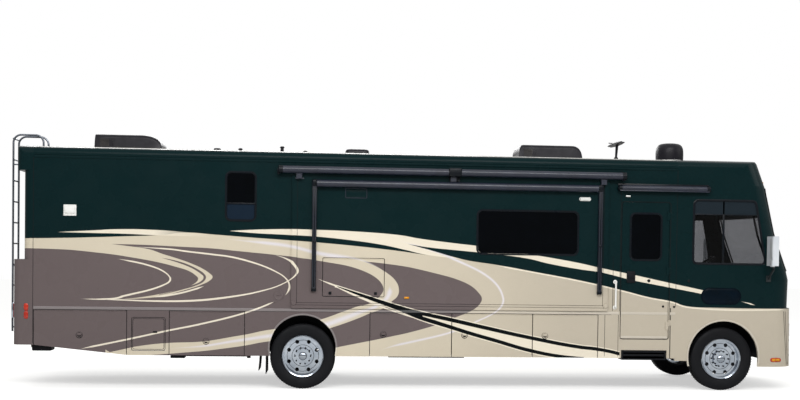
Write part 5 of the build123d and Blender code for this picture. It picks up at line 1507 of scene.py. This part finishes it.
# %% Satellite dome
bm = bmesh.new()
bell = [(0.211, 0.020), (0.214, 0.060), (0.215, 0.120), (0.213, 0.170), (0.206, 0.210), (0.192, 0.243)]
bell += [(0.170, 0.267), (0.140, 0.281), (0.100, 0.288), (0.050, 0.291), (0, 0.2915)]
dome_foot = (4.049, 0, 3.447)
turn(bm, dome_foot, (0, 0, 1), [(0, 0.018)] + bell, 64)
with first_faces(bm, 1):
    button(bm, dome_foot, (0, 0, 1), 0.226, 0.014, 0.216, 0.024, 0.024, 64)
dome_shell = piece("satellite_dome_shell", bm, "coach", [shroud_plastic, white_abs])
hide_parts("satellite_dome")
print("dome", [round(c, 3) for c in dome_shell.dimensions])

# %% [markdown]
# The roof also carries plumbing vents with rain caps, three lidded vents and a television aerial. The
# aerial's wing is a long thin body that tapers to its tips, set across the coach on a leaning mast.

# %% Roof vents and aerial
bm = bmesh.new()
for x, y in ((-2.62, 0.20), (-1.965, -0.30), (-1.635, 0.35)):
    base = roof_z(x, y)
    pipe = [(0, -0.002), (0.050, -0.002), (0.046, 0.008), (0.026, 0.016), (0.024, 0.060), (0.034, 0.064)]
    turn(bm, (x, y, base), (0, 0, 1), pipe + [(0.034, 0.076), (0.022, 0.086), (0, 0.088)], 28)
for x, y, length, width, height in (
    (-2.925, -0.25, 0.10, 0.10, 0.040),
    (-0.84, 0.00, 0.38, 0.38, 0.080),
    (-0.175, 0.25, 0.42, 0.38, 0.048),
):
    base = roof_z(x, y)
    block(bm, (x - length / 2, y - width / 2, base - 0.004), (x + length / 2, y + width / 2, base + 0.022), 0.006)
    lid = []
    for share in (0.0, 0.25, 0.5, 0.7, 0.85, 0.95, 1.0):
        a, rise = 1 - 0.30 * share**3, 0.022 + (height - 0.022) * math.sin(share * math.pi / 2)
        reach, span = length * a * 0.47, width * a * 0.47
        corners = wall_rect(x - reach, x + reach, y - span, y + span, 0)
        lid.append([(p.x, p.z, base + rise) for p in rounded_path(corners, length * 0.15)])
    loft(bm, lid)
    edge = x - length / 2
    for hinge in (y - 0.11, y + 0.11) if width > 0.2 else ():
        block(bm, (edge + 0.01, hinge - 0.02, base + 0.016), (edge + 0.05, hinge + 0.02, base + 0.034), 0.006)
base = roof_z(3.192, 0)
block(bm, (3.13, -0.08, base - 0.004), (3.25, 0.08, base + 0.022), 0.010, 3)
turn(bm, (3.196, 0, base), (0, 0, 1), [(0, 0.02), (0.040, 0.02), (0.034, 0.045), (0.020, 0.060), (0, 0.060)], 24)
mast = [((3.196 + 0.012 * s, 0, base + 0.05 + 0.19 * s), 0.017 + 0.006 * s) for s in np.linspace(0, 1, 5)]
for (one, r1), (two, r2) in zip(mast, mast[1:]):
    rise = Vector(two) - Vector(one)
    reach = rise.length + 0.001
    turn(bm, one, rise, [(0, 0), (r1, 0), (r2, reach), (0, reach)], 16)
wing = []
for y in np.linspace(-0.42, 0.42, 15):
    chord, thick = 0.066 * (1 - 0.45 * abs(y / 0.42) ** 2), 0.021 * (1 - 0.6 * abs(y / 0.42) ** 2)
    section = [(math.cos(a) * chord, math.sin(a) * thick) for a in np.linspace(0, 2 * math.pi, 17)[:-1]]
    wing.append([(3.192 + a, y, 3.712 + b - (0.010 if a > 0 else 0.0)) for a, b in section])
loft(bm, wing)
tube(bm, [(3.14, 0, 3.722), (3.10, 0, 3.724), (3.075, 0, 3.724)], 0.007, 10)
roof_fit = piece("roof_vents_and_aerial", bm, "coach", shroud_plastic)
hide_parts("roof_fittings")
print("roof vents and aerial", len(roof_fit.data.polygons), "faces")

# %% [markdown]
# The two halves of the windshield sit in one rubber gasket with a post between them. The path of the gasket
# is found by shooting lines at the glass, so it follows the wrap of the nose. Wipers park along the foot.

# %% Windshield gasket and wipers


def on_nose(y, z, names=("windshield", "front_cap", "front_fascia", "headlamps"), lift=0.0):
    """The foremost skin at y and z on the nose, lifted off it a little, and the way it faces."""
    best = None
    for name in names:
        aim = y + 0.012 if name == "windshield" and abs(y) < 0.011 else y
        place, facing = skin_point(name, (9, aim, z), (-1, 0, 0))
        if place is not None and (best is None or place.x > best[0].x):
            best = (Vector((place.x, y, z)), facing)
    return (best[0] + best[1] * lift, best[1]) if best else (None, None)


def nose_run(points, steps=24, lift=0.002):
    """Points on the nose between given (y, z) places."""
    found = []
    for (y0, z0), (y1, z1) in zip(points, points[1:]):
        for share in np.linspace(0, 1, steps, endpoint=False):
            found.append(on_nose(y0 + (y1 - y0) * share, z0 + (z1 - z0) * share, lift=lift)[0])
    found.append(on_nose(*points[-1], lift=lift)[0])
    return [p for p in found if p is not None]


low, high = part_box("windshield")
edge_y, foot_z, head_z = 1.10, low.z + 0.012, high.z - 0.012
bm = bmesh.new()
for run in (
    [(-edge_y, foot_z), (edge_y, foot_z)],
    [(-edge_y, head_z), (edge_y, head_z)],
    [(0, foot_z), (0, head_z)],
    [(-edge_y, foot_z), (-edge_y, head_z)],
    [(edge_y, foot_z), (edge_y, head_z)],
):
    tube(bm, nose_run(run), 0.017 if run[0][0] == run[1][0] == 0 else 0.013, 8)
piece("windshield_gasket", bm, "coach", seal_rubber)
bm = bmesh.new()
for side in (right, left):
    foot = on_nose(side * 0.34, foot_z - 0.075, lift=0.006)[0]
    turn(bm, foot, (1, 0, 0.5), [(0, -0.01), (0.024, -0.01), (0.024, 0.012), (0.014, 0.024), (0, 0.024)], 20)
    elbow = on_nose(side * 0.45, foot_z + 0.01, lift=0.045)[0]
    tip = on_nose(side * 0.62, foot_z + 0.06, lift=0.030)[0]
    tube(bm, [foot + Vector((0.016, 0, 0.008)), elbow, tip], 0.008, 8)
    blade = [on_nose(side * (0.30 + 0.62 * s), foot_z + 0.05 + 0.03 * s, lift=0.018)[0] for s in np.linspace(0, 1, 9)]
    tube(bm, blade, 0.007, 6)
    tube(bm, [p + Vector((0.010, 0, 0)) for p in blade[2:7]], 0.005, 6)
piece("windshield_wipers", bm, "coach", black_abs)
print("windshield gasket and wipers")

# %% [markdown]
# Lamps have pressed bezels, and law asks for a row of small clearance lamps high on the nose and the tail.
# All are seated with the same line that finds the skin, and leaned to face the way the skin faces.

# %% Lamp bezels and clearance lamps


def lens_on(bm, place, facing, across, width, height, proud):
    """A domed oval lens on a skin: width along across, height square to it."""
    facing = facing.normalized()
    along = (Vector(across) - facing * Vector(across).dot(facing)).normalized()
    up = facing.cross(along)
    full = [[math.copysign(abs(c) ** 0.6 / 2, c) for c in spot] for spot in circle(1, 20)]
    oval = [along * a * width + up * b * height for a, b in full]
    rings = []
    for share, rise in ((1.0, -0.006), (1.0, 0.25), (0.92, 0.6), (0.7, 0.88), (0.35, 1.0)):
        rings.append([place + spoke * share + facing * proud * rise for spoke in oval])
    loft(bm, rings)


bm = bmesh.new()
for y in (-0.92, -0.46, 0, 0.46, 0.92):
    place, facing = on_nose(y, 3.09)
    lens_on(bm, place, facing, (0, 1, 0), 0.085, 0.030, 0.022)
place, facing = skin_point("front_fascia", (5.34, -3, 0.462), (0, 1, 0))
for side in (right, left):
    spot = Vector((place.x, side * abs(place.y), place.z))
    outwards = Vector((facing.x, side * abs(facing.y), facing.z))
    for shift in (-0.030, 0.030):
        lens_on(bm, spot + Vector((shift, 0, 0)), outwards, (1, 0, 0), 0.062, 0.044, 0.016)
    with first_faces(bm, 1):
        lens_on(bm, spot, outwards, (1, 0, 0), 0.165, 0.066, 0.008)
piece("front_clearance_lamps", bm, "coach", [amber_lens, red_lens])
bm = bmesh.new()
for y in (-0.92, -0.30, 0, 0.30, 0.92):
    place, facing = skin_point("rear_cap", (-9, y, 3.20), (1, 0, 0))
    lens_on(bm, place, facing, (0, 1, 0), 0.085, 0.030, 0.022)
for side in (right, left):
    place, facing = skin_point("rear_cap", (-5.435, side * 3, 1.080), (0, -side, 0))
    for shift in (-0.055, 0.055):
        lens_on(bm, place + Vector((0, 0, shift)), facing, (0, 0, 1), 0.108, 0.062, 0.014)
piece("rear_marker_lamps", bm, "coach", red_lens)
# Each headlamp is a dark pod with a bright bezel and two round lamps, each a ring round a clear dome.
low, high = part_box("headlamps")
z0, z1 = low.z + 0.004, high.z - 0.004
lamp_ring = [(0.052, 0.0), (0.066, 0.0), (0.068, 0.008), (0.060, 0.014), (0.052, 0.006), (0.052, 0.0)]
lamp_dome = [(0, -0.002), (0.053, -0.002), (0.052, 0.005), (0.036, 0.013), (0.016, 0.017), (0, 0.018)]
bm = bmesh.new()
for side in (right, left):
    y0, y1 = side * 0.705, side * 1.008
    grid = []
    for y in np.linspace(y0, y1, 16):
        near, far = on_nose(y, z0, lift=0.001)[0], on_nose(y, z1, lift=0.001)[0]
        grid.append([near, far, far - Vector((0.02, 0, 0)), near - Vector((0.02, 0, 0))])
    loft(bm, grid)
    lamps = [on_nose(side * y, (z0 + z1) / 2) for y in (0.785, 0.925)]
    with first_faces(bm, 1):
        rim = [(y, z0) for y in np.linspace(y0, y1, 14)] + [(y1, z) for z in np.linspace(z0, z1, 8)[1:-1]]
        rim += [(y, z1) for y in np.linspace(y1, y0, 14)] + [(y0, z) for z in np.linspace(z1, z0, 8)[1:-1]]
        tube(bm, [on_nose(y, z, lift=0.003)[0] for y, z in rim], 0.008, 8, closed=True)
        for place, facing in lamps:
            turn(bm, place, facing, lamp_ring, 40)
    with first_faces(bm, 2):
        for place, facing in lamps:
            turn(bm, place, facing, lamp_dome, 40)
pods = piece("headlamp_pods", bm, "coach", [frame_metal, chrome_plate, lamp_lens])
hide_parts("headlamps")
bm = bmesh.new()
for side in (right, left):
    low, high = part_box("tail_lamps")
    for z in (low.z, (low.z + high.z) / 2, high.z):
        block(bm, (low.x - 0.006, side * 1.155, z - 0.006), (low.x + 0.02, side * 0.985, z + 0.006), 0.003)
    for y in (0.985, 1.155):
        block(bm, (low.x - 0.006, side * (y - 0.006), low.z), (low.x + 0.02, side * (y + 0.006), high.z), 0.003)
piece("lamp_bezels", bm, "coach", chrome_plate)
print("lamps dressed")

# %% [markdown]
# The nose has an air intake with slats low in the middle, two bumper lines and a seam at each corner where
# the bumper moulding meets the side. Slats are swept along points found on the skin. Nose and tail each have
# a bare plate plinth.

# %% Nose trim
bm = bmesh.new()
opening = [(-0.46, 0.800), (0.46, 0.800), (0.50, 0.985), (-0.50, 0.985)]
tube(bm, nose_run(opening + opening[:1], 16, 0.003)[:-1], 0.012, 10, closed=True)
slat = [(-0.008, -0.003), (0.008, -0.003), (0.009, 0.004), (0.0, 0.012), (-0.009, 0.004)]
for z in (0.832, 0.862, 0.892, 0.922, 0.952):
    half = 0.475 + (z - 0.86) * 0.2
    sweep(bm, nose_run([(-half, z), (half, z)], 18, 0.004), slat, False, (1, 0, 0))
piece("intake_grille", bm, "coach", chrome_plate)
bm = bmesh.new()
backing = []
for share in np.linspace(-1, 1, 19):
    low_point = on_nose(share * 0.464, 0.806, lift=0.001)[0]
    high_point = on_nose(share * 0.499, 0.979, lift=0.001)[0]
    backing.append([low_point, high_point, high_point - Vector((0.006, 0, 0)), low_point - Vector((0.006, 0, 0))])
loft(bm, backing)
piece("intake_backing", bm, "coach", black_abs)
bm = bmesh.new()
for z in (0.745, 0.520):
    tube(bm, nose_run([(-1.12, z), (1.12, z)], 40, 0.0005), 0.006, 8)
corner = [(5.492, 1.180), (5.500, 1.05), (5.518, 0.85), (5.540, 0.62), (5.565, 0.385)]
for side in (right, left):
    for shift in (0.0, 0.030):
        path = [skin_point("front_fascia", (x - shift, side * 3, z), (0, -side, 0)) for x, z in corner]
        tube(bm, [p + f * 0.0005 for p, f in path if p is not None], 0.0035, 6)
piece("bumper_seams", bm, "coach", seal_rubber)
bm = bmesh.new()
place, facing = on_nose(0, 0.632)
block(bm, (place.x - 0.020, -0.165, 0.555), (place.x + 0.007, 0.165, 0.710), 0.006, 3)
for y in (-0.12, 0.12):
    turn(bm, (place.x + 0.007, y, 0.694), (1, 0, 0), [(0, -0.002), (0.007, -0.002), (0.007, 0.003), (0, 0.004)], 12)
back = skin_point("rear_cap", (-9, 0, 0.86), (1, 0, 0))[0]
block(bm, (back.x - 0.008, -0.165, 0.785), (back.x + 0.012, 0.165, 0.940), 0.006, 3)
block(bm, (back.x - 0.030, -0.060, 0.950), (back.x + 0.010, 0.060, 0.972), 0.006, 3)
piece("bare_plate_plinths", bm, "coach", black_abs)
print("nose trim at x", round(place.x, 3), "tail plinth at", round(back.x, 3))

# %% [markdown]
# The walls meet the moulded caps in a lapped joint with a thin bead of sealant. Two more joints run down the
# wall between the entry door and the slide-out. They are shallow dark lines, swept as a low bead.

# %% Wall joints
joint = bead(0.006, 0.0012)
bm = bmesh.new()
for side in (right, left):
    spans = [(-5.345, 0.63, 3.225), (3.812, 1.235, 3.225)]
    if side == right:
        spans += [(2.872, 1.16, 1.96), (2.975, 1.16, 3.225)]
    for x, z0, z1 in spans:
        wall_run(bm, [(x, z) for z in np.linspace(z0, z1, 10)], side * wall_y, joint)
for x in (2.762, 2.962):
    wall_run(bm, [(x, z) for z in np.linspace(0.50, 1.105, 4)], -wall_y, joint)
wall_run(bm, [(3.737, z) for z in np.linspace(0.48, 1.215, 4)], -wall_y, bead(0.012, 0.0012))
# The long joint under the belt stops short of the entry door on the right side.
long_joint = [(x, 1.108) for x in np.linspace(-5.34, 3.80, 30)]
wall_run(bm, [p for p in long_joint if p[0] < 2.96], -wall_y, bead(0.005, 0.001))
wall_run(bm, long_joint, wall_y, bead(0.005, 0.001))
piece("wall_joints", bm, "coach", seal_rubber)
print("wall joints made")

# %% [markdown]
# A mirror head holds a flat glass above and a round wide-angle glass below. Both face the driver, which is
# the rear side of the head. Each glass is a thin plate with rounded corners, and a lamp marks each head.

# %% Mirror glasses
mirror_y, half_width = 1.54, 0.048
bm = bmesh.new()
for side in (right, left):
    for z0, z1, bulge in ((1.955, 2.245, 0.0), (1.835, 1.935, 0.006)):
        centre, _ = skin_point("mirrors", (4.5, side * mirror_y, (z0 + z1) / 2), (1, 0, 0))
        y0, y1 = mirror_y - half_width, mirror_y + half_width
        corners = [(centre.x, side * y, z) for y, z in ((y0, z0), (y1, z0), (y1, z1), (y0, z1))]
        outline = rounded_path(corners, 0.018)
        shells = []
        for share, proud in ((1.0, -0.002), (1.0, 0.003), (0.94, 0.005), (0.5, 0.005 + bulge)):
            shells.append([centre + (p - centre) * share - Vector((proud, 0, 0)) for p in outline])
        loft(bm, shells)
# The glass is half diffuse pale white: a painted reflection.
piece("mirror_glasses", bm, "coach", mirror_glass_with_painted_reflection)
bm = bmesh.new()
for side in (right, left):
    place, facing = skin_point("mirrors", (9, side * mirror_y, 2.05), (-1, 0, 0))
    lens_on(bm, place, facing, (0, 0, 1), 0.090, 0.018, 0.006)
piece("mirror_lamps", bm, "coach", amber_lens)
print("mirror glasses made")

# %% [markdown]
# The entry steps are folded sheet, and five low rubber ribs on each tread give the grip.

# %% Step grips
low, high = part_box("entry_steps")
bm = bmesh.new()
treads = []
for y in (-1.16, -1.00, -0.84):
    place, _ = skin_point("entry_steps", ((low.x + high.x) / 2, y, 1.6), (0, 0, -1))
    if place is not None and all(abs(place.z - t.z) > 0.02 for t in treads):
        treads.append(place)
for tread in treads:
    for k in range(5):
        y, z = tread.y - 0.03 + 0.014 * k, tread.z
        block(bm, (low.x + 0.05, y, z - 0.001), (high.x - 0.05, y + 0.006, z + 0.003), 0.001)
piece("step_grips", bm, "coach", seal_rubber)
print("treads at", [round(t.z, 3) for t in treads])

# %% [markdown]
# Flaps hang behind the rear wheels, two pipes run under the skirt, and the tail has a louvred engine-air
# panel and ladder feet. The louvres come from the repeating tree.

# %% Tail and underside
bm = bmesh.new()
for side in (right, left):
    outer, inner = side * 1.20, side * 0.70
    path = [(-2.205, 0.700), (-2.208, 0.55), (-2.214, 0.40), (-2.226, 0.26)]
    flap = []
    for x, z in path:
        flap.append([(x - 0.005, outer, z), (x + 0.005, outer, z), (x + 0.005, inner, z), (x - 0.005, inner, z)])
    loft(bm, flap)
piece("mud_flaps", bm, "coach", seal_rubber)
bm = bmesh.new()
block(bm, (-5.375, -1.20, 0.520), (-5.110, -0.96, 0.612), 0.018, 3)
block(bm, (-5.33, -1.16, 0.60), (-5.16, -1.00, 0.66), 0.006)
block(bm, (-3.47, -1.16, 0.425), (-3.27, -1.00, 0.468), 0.010, 3)
block(bm, (-3.41, -1.12, 0.460), (-3.33, -1.04, 0.620), 0.006)
block(bm, (-2.395, -1.17, 0.432), (-2.345, -1.11, 0.520), 0.006)
for x0, x1 in ((-3.29, -2.36), (-0.38, 0.72)):
    tube(bm, [(x, -1.14, 0.462) for x in np.linspace(x0, x1, 6)], 0.010, 10)
    for x in np.linspace(x0 + 0.06, x1 - 0.06, 3):
        block(bm, (x - 0.012, -1.155, 0.455), (x + 0.012, -1.125, 0.530), 0.003)
piece("underside_skid_and_pipes", bm, "coach", chassis_enamel)
bm = bmesh.new()
back_x = skin_point("rear_cap", (-9, 0, 1.45), (1, 0, 0))[0].x
block(bm, (back_x - 0.010, -0.36, 1.300), (back_x + 0.010, 0.36, 1.600), 0.008, 3)
repeated_into(bm, "row_block", black_abs, Count=11, Step=(0, 0, 0.024), Size=(0.014, 0.66, 0.006),
              Tilt=(0.0, 0.6, 0.0), Place=(back_x - 0.012, 0.0, 1.328))
repeated_into(bm, "row_stud", black_abs, Count=4, Step=(0, 0.22, 0), Size=(0.006, 0.006, 0.006),
              Tilt=(0.0, math.pi / 2, 0.0), Place=(back_x - 0.011, -0.33, 1.308))
piece("tail_air_panel", bm, "coach", black_abs)
bm = bmesh.new()
ladder_sides, bracket_heights = (-0.70, -0.44), (0.95, 1.95, 2.95)
for y, z in [(y, z) for z in bracket_heights for y in ladder_sides]:
    foot = skin_point("rear_cap", (-9, y, z), (1, 0, 0))[0]
    block(bm, (foot.x - 0.006, y - 0.022, z - 0.036), (foot.x + 0.004, y + 0.022, z + 0.036), 0.003)
    for up in (0.024, -0.024):
        turn(bm, (foot.x - 0.005, y, z + up), (-1, 0, 0), [(0, 0), (0.006, 0), (0.005, 0.004), (0, 0.004)], 10)
piece("ladder_feet", bm, "coach", drawn_aluminium)
print("tail dressed at x", round(back_x, 3))

# %% [markdown]
# The two cab seats are upholstered foam. Each pad starts as a rounded block a little smaller than the real
# one and is inflated as cloth, which pulls its sides in between the corners. The welt seams are added after
# that, on the puffed skin.

# %% Cab seats
pad_voxel, quick_voxel, pad_rise = 0.009, 0.02, 0.024
puff_frames = 20
driver_y, passenger_y, welt_y = 0.54, -0.62, 0.12


def pad_shell(name, low, high, corner):
    """A closed rounded block as its own object."""
    bm = bmesh.new()
    block(bm, low, high, corner, 4)
    bmesh.ops.recalc_face_normals(bm, faces=bm.faces)
    mesh = bpy.data.meshes.new(name)
    bm.to_mesh(mesh)
    bm.free()
    made = bpy.data.objects.new(name, mesh)
    scene.collection.objects.link(made)
    return made


def baked(thing):
    """Replaces an object's mesh with what its modifiers make of it."""
    mesh = bpy.data.meshes.new_from_object(thing.evaluated_get(bpy.context.evaluated_depsgraph_get()))
    thing.modifiers.clear()
    thing.data = mesh


def inflate(pad):
    even = pad.modifiers.new("even", "REMESH")
    even.mode = "VOXEL"
    even.voxel_size = pad_voxel
    baked(pad)
    before = np.array([v.co for v in pad.data.vertices])
    cloth = pad.modifiers.new("cloth", "CLOTH")
    cloth.settings.use_pressure = True
    cloth.settings.uniform_pressure_force = 4.0
    cloth.settings.quality = 4
    cloth.settings.mass = 0.3
    cloth.settings.effector_weights.gravity = 0.0
    cloth.point_cache.frame_start, cloth.point_cache.frame_end = 1, puff_frames
    for frame_number in range(1, puff_frames + 1):
        scene.frame_set(frame_number)
    baked(pad)
    scene.frame_set(1)
    after = np.array([v.co for v in pad.data.vertices])
    move = after - before
    reach = np.linalg.norm(move, axis=1, keepdims=True)
    after = before + move * np.minimum(1.0, pad_rise / np.maximum(reach, 1e-9))
    pad.data.vertices.foreach_set("co", after.ravel())
    fine = pad.modifiers.new("fine", "SUBSURF")
    fine.levels = fine.render_levels = 1
    baked(pad)
    for face in pad.data.polygons:
        face.use_smooth = True


def welt(bm, pad, away, path):
    """A piped seam on a pad, where lines shot back at it from away from each point of a path land."""
    skin, away = skin_of(pad.data), Vector(away)
    hits = [skin.ray_cast(Vector(p) + away, -away)[0] for p in path]
    hits = [p for p in hits if p is not None]
    if len(hits) > 2:
        tube(bm, hits, 0.004, 6)


seat_pads = {
    "cushion": ((4.010, -0.235, 1.500), (4.512, 0.235, 1.625), 0.045),
    "back": ((3.945, -0.230, 1.655), (4.052, 0.230, 2.120), 0.040),
    "headrest": ((3.955, -0.130, 2.165), (4.045, 0.130, 2.345), 0.035),
}
for seat_name, middle in (("driver", driver_y), ("passenger", passenger_y)):
    seams = bmesh.new()
    shift = Vector((0, middle, 0))
    for part, (low, high, corner) in seat_pads.items():
        pad = pad_shell(f"{seat_name}_seat_{part}", Vector(low) + shift, Vector(high) + shift, corner)
        inflate(pad)
        pad.data.materials.clear()
        pad.data.materials.append(seat_cloth)
        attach(pad, "coach")
        if part == "cushion":
            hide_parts("cab_seats")
            for y in (middle - welt_y, middle + welt_y):
                welt(seams, pad, (0, 0, 1), [(x, y, 1.5) for x in np.linspace(4.05, 4.47, 22)])
            welt(seams, pad, (0, 0, 1), [(4.40, middle + y, 1.5) for y in np.linspace(-0.21, 0.21, 22)])
        if part == "back":
            for y in (middle - welt_y, middle + welt_y):
                welt(seams, pad, (1, 0, 0), [(4.0, y, z) for z in np.linspace(1.70, 2.08, 20)])
            welt(seams, pad, (1, 0, 0), [(4.0, middle + y, 1.82) for y in np.linspace(-0.20, 0.20, 20)])
    piece(f"{seat_name}_seat_seams", seams, "coach", dash_vinyl)
    bm = bmesh.new()
    block(bm, (4.06, middle - 0.16, 1.178), (4.44, middle + 0.16, 1.215), 0.008)
    pedestal = [(0, 0), (0.11, 0), (0.085, 0.03), (0.085, 0.22), (0.12, 0.25), (0, 0.25)]
    turn(bm, (4.25, middle, 1.21), (0, 0, 1), pedestal, 36)
    block(bm, (4.03, middle - 0.215, 1.455), (4.48, middle + 0.215, 1.500), 0.012, 3)
    for y in (-0.055, 0.055):
        tube(bm, [(4.0, middle + y, 2.09), (4.0, middle + y, 2.20)], 0.006, 10)
    for arm_y in (middle - 0.262, middle + 0.262):
        block(bm, (3.945, arm_y - 0.012, 1.60), (3.985, arm_y + 0.012, 1.80), 0.008)
        block(bm, (3.955, arm_y - 0.024, 1.765), (4.325, arm_y + 0.024, 1.812), 0.020, 4)
    piece(f"{seat_name}_seat_frame", bm, "coach", black_abs)
print("cab seats upholstered")

# %% [markdown]
# The dashboard gets a hooded cluster and four round vents, in textured plastic.
# Little of it shows through the tinted glass, but it gives the cab its depth.

# %% Dashboard details
top = skin_point("dashboard", (5.15, driver_y, 3.0), (0, 0, -1))[0]
bm = bmesh.new()
hood = [(4.98, 0.004, 0.19), (5.00, 0.070, 0.20), (5.08, 0.085, 0.20), (5.22, 0.050, 0.18), (5.32, 0.004, 0.15)]
half_turn, foot = np.linspace(0, math.pi, 19), top.z - 0.012
arches = []
for x, rise, half in hood:
    arch = [(half * math.cos(a), (rise + 0.012) * math.sin(a) ** 0.6) for a in half_turn]
    arches.append([(x, driver_y + a, foot + b) for a, b in arch])
loft(bm, arches)
vent = [(0, -0.004), (0.048, -0.004), (0.050, 0.004), (0.040, 0.009), (0.034, 0.003), (0, 0.003)]
for y in (-0.85, -0.35, 0.10, 0.95):
    spot = skin_point("dashboard", (5.25, y, 3.0), (0, 0, -1))[0]
    turn(bm, spot, (0, 0, 1), vent, 28)
piece("dash_hood_and_vents", bm, "coach", black_abs)
print("dash top at", round(top.z, 3))

# %% [markdown]
# The box of the imported model and the box of what is shown are gathered, and the shown size is printed.

# %% Sizes and finish
boxes = {
    "cad_low": list(map(float, cad_box[0])),
    "cad_high": list(map(float, cad_box[1])),
}
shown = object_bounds()
boxes |= {"shown_low": list(map(float, shown[0])), "shown_high": list(map(float, shown[1]))}
print("shown size", [round(b - a, 3) for a, b in zip(boxes["shown_low"], boxes["shown_high"])])
